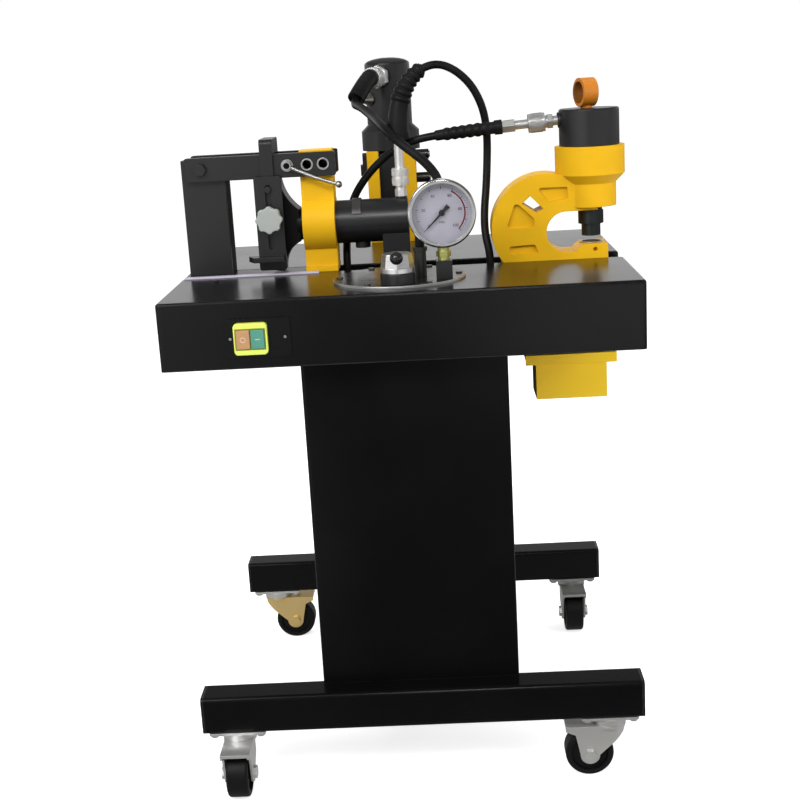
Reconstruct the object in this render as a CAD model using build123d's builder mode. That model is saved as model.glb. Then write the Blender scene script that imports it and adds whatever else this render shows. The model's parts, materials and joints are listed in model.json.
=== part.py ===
from build123d import *
import os
from math import acos, cos, radians, sin, tan

os.makedirs("parts", exist_ok=True)

# Lengths are in millimetres. The floor is at height zero, the front faces -Y.

# Gaps between pieces that move past each other
slide_gap = 0.3
shaft_gap = 0.05

# Table
table_width = 700
table_depth = 600
table_height = 780
table_box = 100
table_sheet = 4
deck_sheet = 6
corner_radius = 6
fold_radius = 4
channel_width = 66
channel_depth = 12
channel_forward = 35

# Stand
column_width = 306
column_sheet = 3
column_seat = 14
column_corner = 5
base_back = 20
rail_length = 684
rail_depth = 53
rail_height = 60
rail_sheet = 3
rail_corner = 6
rail_spacing = 573
cap_thickness = 3
cap_insert = 12
cover_width = 230
cover_height = 400
cover_lap = 15
cover_thickness = 2

# Casters
caster_height = 100
caster_inset = 53
caster_plate_length = 88
caster_plate_depth = 50
caster_plate_thickness = 4
race_radius = 26
race_height = 10
crown_thickness = 5
king_pin_radius = 6
king_nut_radius = 10
king_nut_height = 3.6
wheel_radius = 37.5
wheel_width = 34
wheel_trail = 32
wheel_side_gap = 2
fork_sheet = 3.5
axle_radius = 6
axle_head_radius = 10
axle_head_length = 5
tread_round = 5
fork_lead = 24
fork_tip = 69
fork_tip_drop = 7.7
fork_arm_reach = 54
fork_arm_drop = 14.2
fork_leg_back = 47
fork_leg_front = 17
fork_brow_drop = 11

# Switch on the front panel
switch_x = -204
switch_drop = 55
switch_plate_width = 92
switch_plate_height = 57
switch_plate_thickness = 2.5
bezel_shift = -11
bezel_width = 48.5
bezel_height = 46
bezel_depth = 9
button_spread = 21
button_width = 19.4
button_height = 27.5
button_travel = 3
button_proud = 2.5

# Pump under its round flange
pump_x = -2
pump_forward = 172
flange_radius = 100
flange_thickness = 4
flange_screw_circle = 90
flange_screw_count = 6
screw_head_radius = 4.8
screw_head_height = 2.2
tank_radius = 75
tank_length = 250
tank_sheet = 3
tank_clearance = 1.5
motor_radius = 65
motor_length = 190
motor_fin_count = 9
motor_fin_depth = 6

# Selector valve
valve_forward = 239
valve_base_radius = 26
valve_base_height = 16
valve_spindle_radius = 5
valve_hub_radius = 25
valve_ring_height = 7
valve_hub_height = 20
valve_hub_taper = 9
lever_radius = 4
lever_reach = 33
lever_rise = 12
ball_radius = 9.5
ball_reach = 37

# Pressure gauge
gauge_x = 66
gauge_forward = 216
gauge_block_size = 24
gauge_block_height = 27
gauge_stem_radius = 8.5
gauge_stem_height = 18
gauge_rise = 100
gauge_case_radius = 46
gauge_bezel_radius = 50
gauge_case_depth = 30
gauge_bezel_depth = 13
gauge_lip = 2
gauge_window_radius = 43.5
gauge_bore_radius = 45
gauge_bore_depth = 15
dial_thickness = 1
glass_thickness = 2
needle_length = 34
needle_tail = 14
needle_thickness = 1.2
needle_hub_radius = 4.5
needle_spindle_radius = 1.5
needle_lift = 3
needle_rest_angle = 225

# Hose fitting on the flange
fitting_x = 31
fitting_forward = 186
fitting_radius = 9
fitting_height = 44
fitting_ring_radius = 11
fitting_ring_height = 6

# Bender
frame_depth = 50
post_left = -338
post_width = 68
post_height = 184
die_width = 40
die_depth = 14
bender_base_margin = 9
bender_base_left = post_left - bender_base_margin
bender_base_right = -104
bender_base_depth = 60
strap_inset = 8
strap_left = post_left + strap_inset
strap_right = -95
strap_thickness = 12
strap_height = 37
strap_bottom = 151
strap_hole_rise = 18.5
strap_skin = 4
post_bolt_inset = 31.5
post_bolt_x = post_left + post_bolt_inset
bush_positions = (-170, -139, -114)
bush_radius = 9.5
bush_bore_radius = 7
bush_proud = 1
yoke_left = -152
yoke_width = 51
yoke_top = 190
yoke_ring_radius = 46
yoke_lip = 5
yoke_foot_depth = 62
yoke_foot_height = 8
bender_axis_rise = 74
bender_cylinder_radius = 34
bender_cylinder_right = 14
bender_bore_end = -52
bender_rod_radius = 25
bender_foot_left = -28
bender_foot_width = 42
bender_foot_depth = 56
drain_x = -61
drain_radius = 12
drain_length = 8
bender_port_x = 4
bender_port_radius = 9
bender_port_height = 36
ram_nose_x = -206
ram_shoulder_x = -186
ram_neck_x = -158
ram_head_depth = 45
ram_head_bottom = 3.5
ram_head_top = 149.5
ram_rod_end = -62
ram_travel = 55
clip_x = -74
clip_start = 15
clip_width = 14
clip_thickness = 2.5

# Adjustable rest on the bender's straps
rest_x = -201.5
hook_width = 20
hook_sheet = 5
hook_top = 211
hook_leg_bottom = 38
rest_plate_width = 43
rest_plate_thickness = 6
rest_plate_bottom = 9
rest_plate_top = 155
slot_width = 9
slot_bottom = 41
slot_top = 142
ledge_left = -239
ledge_right = -183
ledge_bottom = 24
ledge_thickness = 8
ledge_reach = 20
knob_rise = 89
knob_radius = 21
knob_lobes = 8
knob_lobe_radius = 5.5
knob_core_radius = 18.6
knob_thickness = 15
knob_hub_radius = 11
knob_hub_length = 5
stud_radius = 4
guide_screw_rise = 135
guide_screw_radius = 5.2

# Hitch pin
pin_stick_out = 8.6
handle_radius = 3.1
handle_sag = 2.5
handle_end_x = -91
handle_end_rise = 137
handle_ball_radius = 5.5
ball_flat_angle = 76

# Bend scale on the deck
scale_left = -345
scale_right = -131
scale_depth = 11
scale_thickness = 2.5
scale_edge_gap = 1

# Cutter
cutter_x = -17.5
cutter_back = table_depth / 2 + 2
cutter_plate = 21
cutter_gap = 45
cutter_frame_depth = 100
cutter_frame_height = 163
cutter_bed_height = 30
cutter_window_depth = 68
cutter_window_top = 108
blade_slot_depth = 12
blade_thickness = 12
blade_depth = 66
blade_bottom = 62
blade_slant = 8
ram_block_depth = 80
ram_block_bottom = 78
ram_block_top = 158
cutter_rod_radius = 22
cutter_rod_top = 245
cutter_collar_radius = 52
cutter_collar_height = 34
cutter_shoulder_height = 11
cutter_cylinder_radius = 40.5
cutter_rim = 313
cutter_crown = 12
cutter_crown_sweep = 78
cutter_bore_top = 280
shelf_thickness = 12
shelf_width = 120
shelf_gusset = 10
shelf_gusset_height = 60
clamp_forward = 28
clamp_rise = 140
clamp_stud_radius = 5
clamp_stud_length = 16
clamp_bar_length = 40
clamp_bar_width = 16
clamp_thickness = 12
clamp_top_thickness = 8
clamp_stand_off = 0.5
hinge_head_radius = 9
hinge_head_length = 24
hinge_end_radius = 6
hinge_end_length = 2
hinge_rises = (153, 112)

# Cutter's quick coupler and boot
coupler_turn = 18
coupler_rise = 292
coupler_boss_radius = 19
coupler_boss_length = 5
coupler_nut_radius = 20
coupler_nut_length = 13
coupler_knurl_radius = 17
coupler_knurl_length = 28
boot_radius = 15
boot_reach = 16
boot_bend_radius = 36
boot_mouth_left = 51.9
boot_mouth_forward = 130
boot_mouth_drop = 33.5
boot_mouth_radius = 11
boot_mouth_depth = 9
boot_straight = 13
bleed_turn = 52
bleed_rise = 254
bleed_radius = 12
bleed_length = 16
bleed_boss_length = 1.5

# Punch
punch_axis_x = 303
punch_frame_depth = 60
punch_outer_radius = 85.5
punch_outer_x = 229.5
punch_outer_rise = 50
throat_radius = 32
throat_x = 262
throat_rise = 43
jaw_left = 275.5
jaw_slope = 7
jaw_right = 326
jaw_top = 22
jaw_hole_x = 306
jaw_hole_rise = 13.5
jaw_hole_radius = 3.2
jaw_hole_depth = 8
punch_foot_left = 160
neck_radius = 40.5
neck_bottom = 80
neck_top = 116
head_radius = 54.5
head_bottom = 130
head_top = 174
pocket_depth = 5
pocket_corner = 3
pockets = (
    ((181, 90), (188, 88.5), (211, 66), (211, 52.8), (168, 52.8)),
    ((171.5, 24), (211, 25.5), (217, 11), (172, 12.5)),
    ((217, 113.5), (264, 113), (264, 95), (233.5, 91.5)),
)
window = ((193, 90.5), (206, 101.5), (226, 80.5), (215, 75.5))
punch_cylinder_radius = 47
punch_cylinder_top = 231
punch_rod_radius = 18
punch_rod_top = 200
punch_bore_top = 226
flange_ram_radius = 20
flange_ram_bottom = 52
flange_ram_top = 72.5
flange_pocket_radius = 21
flange_pocket_top = 103
punch_radius = 15
punch_bottom = 33
die_radius = 18
die_hole_radius = 15.5
die_seat = 14
die_proud = 1.5
ring_radius = 22
ring_bore_radius = 16.5
ring_x = 299
ring_width = 24
ring_turn = 18
ring_pad_radius = 9
ring_pad_height = 3
scrap_hole_radius = 15

# Punch's quick coupler, from the cylinder outwards
punch_port_rise = 217.5
punch_port_tilt = 3.6
punch_port_radius = 12
punch_neck_radius = 7.5
punch_neck_length = 8
punch_hex_radius = 12.2
punch_hex_length = 8
punch_collar_radius = 9.5
punch_collar_length = 4
punch_knurl_radius = 14.4
punch_knurl_length = 26
punch_tube_radius = 7
punch_tube_length = 21
punch_nut_radius = 10.8
punch_nut_length = 20

# Bender's quick coupler, from the cylinder upwards
bender_nipple_radius = 8
bender_nut_radius = 9.6
bender_nipple_length = 17
bender_knurl_radius = 12.7
bender_knurl_length = 27
bender_tube_radius = 7.5
bender_tube_length = 28
bender_cone_length = 16

# Scrap box under the table
scrap_x = 262
scrap_width = 113
scrap_depth = 80
scrap_height = 57
scrap_wall = 2
scrap_flange_width = 145
scrap_flange_thickness = 6
scrap_set_back = 3
scrap_rim_width = 132
scrap_rim_height = 16
scrap_rim_drop = 149
scrap_front = 85
runner_sheet = 4

# Hoses
hose_radius = 6.25
cutter_hose_radius = 7
sleeve_gap = 0.35
rib_pitch_bender = 11
rib_pitch_punch = 13
punch_run_in = 64
grommet_radius = 10
grommet_lip_radius = 13
grommet_lip = 3
bender_grommet = (141, -53)
punch_grommet = (-90, -16)

# Places that follow from the dimensions above
front_rail_back = rail_spacing / 2 - base_back
front_reach = front_rail_back + wheel_trail + wheel_radius
rear_reach = cutter_back + cutter_collar_radius
table_y = (front_reach - rear_reach) / 2
right_reach = punch_axis_x + head_radius
table_x = (table_width / 2 - right_reach) / 2
front_y = table_y - table_depth / 2
rear_y = table_y + table_depth / 2
unit_y = table_y - channel_forward
channel_front = unit_y - channel_width / 2
channel_rear = unit_y + channel_width / 2
deck = table_height
channel_floor = deck - channel_depth
table_bottom = table_height - table_box
base_y = table_y + base_back
rail_bottom = caster_height
rail_top = rail_bottom + rail_height
rail_mid = rail_bottom + rail_height / 2
rail_rows = (base_y - rail_spacing / 2, base_y + rail_spacing / 2)
column_depth = rail_spacing - rail_depth + 2 * column_seat
column_height = table_bottom - rail_top
pump_y = table_y - pump_forward
flange_top = deck + flange_thickness
bender_axis = deck + bender_axis_rise
cutter_y = table_y + cutter_back


def finish(builder, name):
    """Label one finished piece and write its file."""
    builder.part.label = name
    export_step(builder.part, f"parts/{name}.step")


def place(x, y, z):
    """Point whose X is counted from the table's centre line."""
    return Vector(table_x + x, y, z)


def upright(x, y, z):
    """Plane that faces up, with its X axis to the right."""
    return Plane(origin=place(x, y, z), x_dir=(1, 0, 0), z_dir=(0, 0, 1))


def frontal(x, y, z):
    """Plane that faces the front, with its X axis to the right."""
    return Plane(origin=place(x, y, z), x_dir=(1, 0, 0), z_dir=(0, -1, 0))


def sideways(x, y, z):
    """Plane that faces right, with its X axis to the back."""
    return Plane(origin=place(x, y, z), x_dir=(0, 1, 0), z_dir=(1, 0, 0))


def block(x0, x1, y0, y1, z0, z1, mode=Mode.ADD):
    """Add or cut a block between two opposite corners."""
    with Locations(place((x0 + x1) / 2, (y0 + y1) / 2, (z0 + z1) / 2)):
        Box(x1 - x0, y1 - y0, z1 - z0, mode=mode)


def disc(plane, start, end, radius, mode=Mode.ADD):
    """Add or cut a round step between two heights over a plane."""
    with BuildSketch(plane.offset(start)) as outline:
        Circle(radius)
    extrude(outline.sketch, amount=end - start, mode=mode)


def nut(plane, start, end, radius, mode=Mode.ADD):
    """Add or cut a six-sided step between two heights over a plane."""
    with BuildSketch(plane.offset(start)) as outline:
        RegularPolygon(radius, 6)
    extrude(outline.sketch, amount=end - start, mode=mode)


def cone(plane, start, end, radius, end_radius):
    """Add a tapered round step between two heights over a plane."""
    with BuildSketch(plane.offset(start)) as low:
        Circle(radius)
    with BuildSketch(plane.offset(end)) as high:
        Circle(end_radius)
    loft(low.sketch.faces() + high.sketch.faces(), ruled=True)


def rounded(plane, start, end, width, height, radius, mode=Mode.ADD):
    """Add or cut a plate with round corners between two heights over a plane."""
    with BuildSketch(plane.offset(start)) as outline:
        RectangleRounded(width, height, radius)
    extrude(outline.sketch, amount=end - start, mode=mode)


def on_table(points):
    """Turn route points given from the deck's centre into the shared frame."""
    return [place(x, table_y + y, deck + z) for x, y, z in points]


# Table body: folded box, open channel, sheet bottom with the column's opening
with BuildPart() as table_body:
    with BuildSketch(upright(0, table_y, table_bottom)):
        RectangleRounded(table_width, table_depth, corner_radius)
    extrude(amount=table_box)
    fillet(table_body.faces().sort_by(Axis.Z)[-1].edges(), fold_radius)
    half_width = table_width / 2
    block(-half_width, half_width, channel_front, channel_rear, channel_floor, deck, Mode.SUBTRACT)
    inner = half_width - table_sheet
    inner_front = front_y + table_sheet
    inner_rear = rear_y - table_sheet
    trough = channel_floor - deck_sheet
    floor = table_bottom + table_sheet
    block(-inner, inner, inner_front, inner_rear, floor, trough, Mode.SUBTRACT)
    block(-inner, inner, inner_front, channel_front - deck_sheet, trough, deck - deck_sheet, Mode.SUBTRACT)
    block(-inner, inner, channel_rear + deck_sheet, inner_rear, trough, deck - deck_sheet, Mode.SUBTRACT)
    column_inner = column_width / 2 - column_sheet
    column_half = column_depth / 2 - column_sheet
    column_front = base_y - column_half
    column_rear = base_y + column_half
    block(-column_inner, column_inner, column_front, column_rear, table_bottom, floor, Mode.SUBTRACT)
    disc(upright(pump_x, pump_y, deck), -deck_sheet, 0, tank_radius + tank_clearance, Mode.SUBTRACT)
    disc(upright(punch_axis_x, unit_y, channel_floor), -deck_sheet, 0, scrap_hole_radius, Mode.SUBTRACT)
    disc(upright(punch_axis_x, unit_y, table_bottom), 0, table_sheet, scrap_hole_radius, Mode.SUBTRACT)
    for hole_x, hole_y in (bender_grommet, punch_grommet):
        grommet_hole = upright(hole_x, table_y + hole_y, channel_floor)
        disc(grommet_hole, -deck_sheet, 0, grommet_radius + shaft_gap, Mode.SUBTRACT)
finish(table_body, "table_body")

# Shelf bracket that carries the rear half of the cutter
with BuildPart() as cutter_shelf:
    shelf_rear = cutter_y + cutter_collar_radius
    shelf_left = cutter_x - shelf_width / 2
    shelf_right = cutter_x + shelf_width / 2
    block(shelf_left, shelf_right, rear_y, shelf_rear, deck - shelf_thickness, deck)
    for gusset_x in (shelf_left, shelf_right - shelf_gusset):
        with BuildSketch(sideways(gusset_x, rear_y, deck - shelf_thickness)):
            with BuildLine():
                Polyline((0, 0), (shelf_rear - rear_y, 0), (0, -shelf_gusset_height), close=True)
            make_face()
        extrude(amount=shelf_gusset)
finish(cutter_shelf, "cutter_shelf")

# Column: sheet shell with a base plate and an opening in its rear wall
with BuildPart() as column_shell:
    with BuildSketch(upright(0, base_y, rail_top)):
        RectangleRounded(column_width, column_depth, column_corner)
    extrude(amount=column_height)
    with BuildSketch(upright(0, base_y, rail_top + column_sheet)):
        Rectangle(column_width - 2 * column_sheet, column_depth - 2 * column_sheet)
    extrude(amount=column_height - column_sheet, mode=Mode.SUBTRACT)
    column_back = base_y + column_depth / 2
    cover_z = rail_top + column_height / 2
    with BuildSketch(frontal(0, column_back, cover_z)):
        Rectangle(cover_width - 2 * cover_lap, cover_height - 2 * cover_lap)
    extrude(amount=column_sheet, mode=Mode.SUBTRACT)
finish(column_shell, "column_shell")

# Access cover on the column's rear face, with a row of vents
with BuildPart() as column_back_cover:
    with BuildSketch(frontal(0, column_back, cover_z)):
        RectangleRounded(cover_width, cover_height, column_corner)
        with Locations((0, cover_height / 4)):
            with GridLocations(0, 18, 1, 6):
                SlotOverall(cover_width / 2, 6, mode=Mode.SUBTRACT)
    extrude(amount=-cover_thickness)
finish(column_back_cover, "column_back_cover")

# Foot rails and the caps in their ends
tube_half = rail_length / 2 - cap_thickness
with BuildPart() as foot_rails:
    with BuildSketch(sideways(-tube_half, 0, 0)):
        with Locations(*[(row, rail_mid) for row in rail_rows]):
            RectangleRounded(rail_depth, rail_height, rail_corner)
            RectangleRounded(
                rail_depth - 2 * rail_sheet,
                rail_height - 2 * rail_sheet,
                rail_corner - rail_sheet,
                mode=Mode.SUBTRACT,
            )
    extrude(amount=2 * tube_half)
finish(foot_rails, "foot_rails")

with BuildPart() as rail_end_caps:
    for side in (-1, 1):
        for row in rail_rows:
            end = sideways(side * tube_half, row, rail_mid)
            rounded(end, 0, side * cap_thickness, rail_depth, rail_height, rail_corner)
            plug_depth = rail_depth - 2 * rail_sheet - 2 * slide_gap
            plug_height = rail_height - 2 * rail_sheet - 2 * slide_gap
            rounded(end, 0, -side * cap_insert, plug_depth, plug_height, rail_corner - rail_sheet)
finish(rail_end_caps, "rail_end_caps")

# Casters: place of the swivel and the way the wheel trails, in degrees from +X
swivel_x = rail_length / 2 - caster_inset
casters = {
    "front_left": (-swivel_x, rail_rows[0], 270),
    "front_right": (swivel_x, rail_rows[0], 180),
    "rear_left": (-swivel_x, rail_rows[1], 0),
    "rear_right": (swivel_x, rail_rows[1], 270),
}
race_top = caster_height - caster_plate_thickness
race_bottom = race_top - race_height
crown_top = race_bottom - slide_gap
crown_bottom = crown_top - crown_thickness
king_nut_top = crown_bottom - slide_gap

with BuildPart() as caster_plates:
    for place_x, place_y, heading in casters.values():
        spot = upright(place_x, place_y, 0)
        rounded(spot, race_top, caster_height, caster_plate_length, caster_plate_depth, 4)
        disc(spot, race_bottom, race_top, race_radius)
        disc(spot, king_nut_top - king_nut_height, race_bottom, king_pin_radius)
        nut(spot, king_nut_top - king_nut_height, king_nut_top, king_nut_radius)
finish(caster_plates, "caster_plates")

leg_inner = wheel_width / 2 + wheel_side_gap
leg_outer = leg_inner + fork_sheet
lead_centre = leg_outer - fork_lead
axle_half = leg_outer + axle_head_length
fork_profile = (
    (-fork_lead, crown_top),
    (fork_tip, crown_top),
    (fork_tip, crown_top - fork_tip_drop),
    (fork_arm_reach, crown_top - fork_arm_drop),
    (fork_leg_back, wheel_radius),
    (fork_leg_front, wheel_radius),
    (-fork_lead, crown_top - fork_brow_drop),
)
for corner, (place_x, place_y, heading) in casters.items():
    along = (cos(radians(heading)), sin(radians(heading)), 0)
    across = (sin(radians(heading)), -cos(radians(heading)), 0)
    swivel = place(place_x, place_y, 0)
    floor_plane = Plane(origin=swivel, x_dir=along, z_dir=(0, 0, 1))
    side_plane = Plane(origin=swivel, x_dir=along, z_dir=across)
    wheel_centre = floor_plane.from_local_coords((wheel_trail, 0, wheel_radius))
    wheel_plane = Plane(origin=wheel_centre, x_dir=along, z_dir=across)

    with BuildPart() as caster_fork:
        with BuildSketch(side_plane.offset(-2 * leg_outer)):
            with BuildLine():
                Polyline(*fork_profile, close=True)
            make_face()
            with Locations((wheel_trail, wheel_radius)):
                Circle((fork_leg_back - fork_leg_front) / 2)
        extrude(amount=4 * leg_outer)
        with BuildSketch(floor_plane):
            with Locations((lead_centre, 0)):
                Circle(leg_outer)
                Rectangle(2 * fork_tip, 2 * leg_outer, align=(Align.MIN, Align.CENTER))
        extrude(amount=caster_height, mode=Mode.INTERSECT)
        with BuildSketch(floor_plane):
            with Locations((lead_centre, 0)):
                Circle(leg_inner)
                Rectangle(2 * fork_tip, 2 * leg_inner, align=(Align.MIN, Align.CENTER))
        extrude(amount=crown_bottom, mode=Mode.SUBTRACT)
        disc(floor_plane, crown_bottom, crown_top, race_radius)
        disc(floor_plane, crown_bottom, crown_top, king_pin_radius + shaft_gap, Mode.SUBTRACT)
        disc(wheel_plane, -axle_half, axle_half, axle_radius)
        for side in (-1, 1):
            nut(wheel_plane, side * leg_outer, side * axle_half, axle_head_radius)
    finish(caster_fork, f"caster_fork_{corner}")

    with BuildPart() as caster_wheel:
        disc(wheel_plane, -wheel_width / 2, wheel_width / 2, wheel_radius)
        fillet(caster_wheel.edges().filter_by(GeomType.CIRCLE), tread_round)
        hub_half = leg_inner - slide_gap
        tread_half = wheel_width / 2
        for side in (-1, 1):
            disc(wheel_plane, side * tread_half, side * (tread_half - 5), wheel_radius - 9, Mode.SUBTRACT)
            disc(wheel_plane, 0, side * hub_half, axle_head_radius + 2)
        disc(wheel_plane, -hub_half, hub_half, axle_radius + shaft_gap, Mode.SUBTRACT)
    finish(caster_wheel, f"caster_wheel_{corner}")

# Switch
switch_z = deck - switch_drop
bezel_x = switch_x + bezel_shift
bezel_back = front_y - switch_plate_thickness
with BuildPart() as switch_plate:
    panel = frontal(switch_x, front_y, switch_z)
    rounded(panel, 0, switch_plate_thickness, switch_plate_width, switch_plate_height, 4)
finish(switch_plate, "switch_plate")

with BuildPart() as switch_bezel:
    bezel_plane = frontal(bezel_x, bezel_back, switch_z)
    rounded(bezel_plane, 0, bezel_depth, bezel_width, bezel_height, 6)
    fillet(switch_bezel.faces().sort_by(Axis.Y)[0].edges(), 1.5)
    with BuildSketch(bezel_plane):
        with GridLocations(button_spread, 0, 2, 1):
            RectangleRounded(button_width + 2 * slide_gap, button_height + 2 * slide_gap, 2)
    extrude(amount=bezel_depth, mode=Mode.SUBTRACT)
finish(switch_bezel, "switch_bezel")

for side, button_name in ((-1, "stop_button"), (1, "start_button")):
    with BuildPart() as button:
        button_plane = frontal(bezel_x + side * button_spread / 2, bezel_back, switch_z)
        button_back = button_travel + slide_gap
        rounded(button_plane, button_back, bezel_depth + button_proud, button_width, button_height, 2)
        fillet(button.faces().sort_by(Axis.Y)[0].edges(), 1)
    finish(button, button_name)

# Pump: flange on the deck, tank and motor hanging below it
pump_plane = upright(pump_x, pump_y, deck)
with BuildPart() as pump_flange:
    disc(pump_plane, 0, flange_thickness, flange_radius)
    chamfer(pump_flange.faces().sort_by(Axis.Z)[-1].edges(), 1)
finish(pump_flange, "pump_flange")

with BuildPart() as oil_tank:
    disc(pump_plane, -tank_length, 0, tank_radius)
    disc(pump_plane, -tank_length + tank_sheet, 0, tank_radius - tank_sheet, Mode.SUBTRACT)
finish(oil_tank, "oil_tank")

with BuildPart() as pump_motor:
    motor_plane = upright(pump_x, pump_y, deck - tank_length)
    disc(motor_plane, -motor_length, 0, motor_radius)
    fin_pitch = motor_length / (motor_fin_count + 1)
    with BuildSketch(frontal(pump_x, pump_y, deck - tank_length)):
        for fin in range(motor_fin_count):
            with Locations((motor_radius - motor_fin_depth / 2, -fin_pitch * (fin + 1))):
                Rectangle(motor_fin_depth, fin_pitch / 2)
    revolve(axis=Axis(place(pump_x, pump_y, 0), (0, 0, 1)), mode=Mode.SUBTRACT)
finish(pump_motor, "pump_motor")

# Selector valve
valve_y = table_y - valve_forward
valve_plane = upright(pump_x, valve_y, flange_top)
hub_foot = valve_base_height + slide_gap
hub_top = hub_foot + valve_ring_height + valve_hub_height
with BuildPart() as valve_base:
    disc(valve_plane, 0, valve_base_height, valve_base_radius)
    fillet(valve_base.faces().sort_by(Axis.Z)[-1].edges(), 2)
    disc(valve_plane, valve_base_height - 1, hub_top - 8, valve_spindle_radius)
finish(valve_base, "valve_base")

lever_plane = Plane(
    origin=place(pump_x, valve_y, flange_top + hub_foot + valve_ring_height + valve_hub_height / 2),
    x_dir=(1, 0, 0),
    z_dir=(0, -cos(radians(lever_rise)), sin(radians(lever_rise))),
)
with BuildPart() as valve_hub:
    disc(valve_plane, hub_foot, hub_foot + valve_ring_height, valve_hub_radius)
    with BuildSketch(valve_plane.offset(hub_foot + valve_ring_height)):
        RegularPolygon(valve_hub_radius, 8)
    extrude(amount=valve_hub_height, taper=valve_hub_taper)
    disc(lever_plane, 12, lever_reach, lever_radius)
    disc(valve_plane, hub_foot, hub_top - 6, valve_spindle_radius + shaft_gap, Mode.SUBTRACT)
finish(valve_hub, "valve_hub")

with BuildPart() as valve_ball:
    with Locations(lever_plane.from_local_coords((0, 0, ball_reach))):
        Sphere(ball_radius)
    disc(lever_plane, 12, lever_reach, lever_radius + shaft_gap, Mode.SUBTRACT)
finish(valve_ball, "valve_ball")

# Pressure gauge on its block
gauge_y = table_y - gauge_forward
gauge_z = deck + gauge_rise
block_top = flange_top + gauge_block_height
gauge_foot = upright(gauge_x, gauge_y, block_top)
gauge_plane = frontal(gauge_x, gauge_y - gauge_case_depth / 2, gauge_z)
with BuildPart() as gauge_block:
    block_foot = upright(gauge_x, gauge_y, flange_top)
    rounded(block_foot, 0, gauge_block_height, gauge_block_size, gauge_block_size, 2)
finish(gauge_block, "gauge_block")

with BuildPart() as gauge_stem:
    disc(gauge_foot, 0, gauge_stem_height, gauge_stem_radius)
    nut(gauge_foot, gauge_stem_height * 0.3, gauge_stem_height * 0.75, gauge_stem_radius * 1.3)
finish(gauge_stem, "gauge_stem")

with BuildPart() as gauge_case:
    disc(gauge_plane, -gauge_case_depth, 0, gauge_case_radius)
    disc(gauge_plane, -gauge_bezel_depth, 0, gauge_bezel_radius)
    fillet(gauge_case.faces().sort_by(Axis.Y)[0].edges(), 3)
    stem_end = gauge_z - block_top - 30
    disc(gauge_foot, gauge_stem_height, stem_end, gauge_stem_radius)
    disc(gauge_plane, -gauge_bore_depth, -gauge_lip, gauge_bore_radius, Mode.SUBTRACT)
    disc(gauge_plane, -gauge_lip, 0, gauge_window_radius, Mode.SUBTRACT)
finish(gauge_case, "gauge_case")

with BuildPart() as gauge_dial:
    dial_face = -gauge_bore_depth + dial_thickness
    disc(gauge_plane, -gauge_bore_depth, dial_face, gauge_bore_radius - shaft_gap)
    needle_back = dial_face + needle_lift
    needle_front = needle_back + needle_thickness
    disc(gauge_plane, dial_face, needle_front, needle_spindle_radius)
finish(gauge_dial, "gauge_dial")

with BuildPart() as gauge_needle:
    needle_turn = radians(needle_rest_angle)
    needle_plane = Plane(
        origin=gauge_plane.from_local_coords((0, 0, needle_back)),
        x_dir=(cos(needle_turn), 0, sin(needle_turn)),
        z_dir=(0, -1, 0),
    )
    with BuildSketch(needle_plane):
        with BuildLine():
            Polyline(
                (needle_length, 0.5),
                (0, 1.8),
                (-needle_tail, 3.4),
                (-needle_tail, -3.4),
                (0, -1.8),
                (needle_length, -0.5),
                close=True,
            )
        make_face()
        Circle(needle_hub_radius)
        Circle(needle_spindle_radius + shaft_gap, mode=Mode.SUBTRACT)
    extrude(amount=needle_thickness)
finish(gauge_needle, "gauge_needle")

with BuildPart() as gauge_glass:
    disc(gauge_plane, -gauge_lip - glass_thickness, -gauge_lip, gauge_bore_radius - shaft_gap)
finish(gauge_glass, "gauge_glass")

# Bender frame: base bar in the channel, die post and tie straps
frame_front = unit_y - frame_depth / 2
frame_rear = unit_y + frame_depth / 2
with BuildPart() as bender_base:
    half_base = bender_base_depth / 2
    block(bender_base_left, bender_base_right, unit_y - half_base, unit_y + half_base, channel_floor, deck)
finish(bender_base, "bender_base")

post_right = post_left + post_width
strap_front = frame_front - strap_thickness
hole_z = deck + strap_bottom + strap_hole_rise
with BuildPart() as bender_post:
    with BuildSketch(upright(0, 0, deck)):
        with BuildLine():
            Polyline(
                (post_left, frame_front),
                (post_right, frame_front),
                (post_right, unit_y - die_width / 2),
                (post_right - die_depth, unit_y),
                (post_right, unit_y + die_width / 2),
                (post_right, frame_rear),
                (post_left, frame_rear),
                close=True,
            )
        make_face()
    extrude(amount=post_height)
    bolt_plane = frontal(post_bolt_x, strap_front, hole_z)
    disc(bolt_plane, -strap_thickness - frame_depth, -strap_thickness, bush_bore_radius, Mode.SUBTRACT)
finish(bender_post, "bender_post")

with BuildPart() as strap_bolt:
    disc(bolt_plane, -2 * strap_thickness - frame_depth, 0, bush_bore_radius - shaft_gap)
    nut(bolt_plane, 0, 7, bush_radius + 1)
    bolt_length = 2 * strap_thickness + frame_depth
    nut(bolt_plane, -bolt_length - 8, -bolt_length, bush_radius + 1)
finish(strap_bolt, "strap_bolt")

with BuildPart() as tie_straps:
    for strap_y in (strap_front, frame_rear):
        with BuildSketch(frontal(0, strap_y, deck + strap_bottom)):
            with Locations(((strap_left + strap_right) / 2, strap_height / 2)):
                RectangleRounded(strap_right - strap_left, strap_height, 3)
            with Locations((post_bolt_x, strap_hole_rise)):
                Circle(bush_bore_radius, mode=Mode.SUBTRACT)
        extrude(amount=-strap_thickness)
    blind_depth = strap_thickness - strap_skin
    for bush_x in bush_positions:
        bush_plane = frontal(bush_x, strap_front, hole_z)
        disc(bush_plane, -strap_thickness, 0, bush_radius + shaft_gap, Mode.SUBTRACT)
        disc(frontal(bush_x, frame_rear, hole_z), -blind_depth, 0, bush_bore_radius, Mode.SUBTRACT)
finish(tie_straps, "tie_straps")

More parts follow.
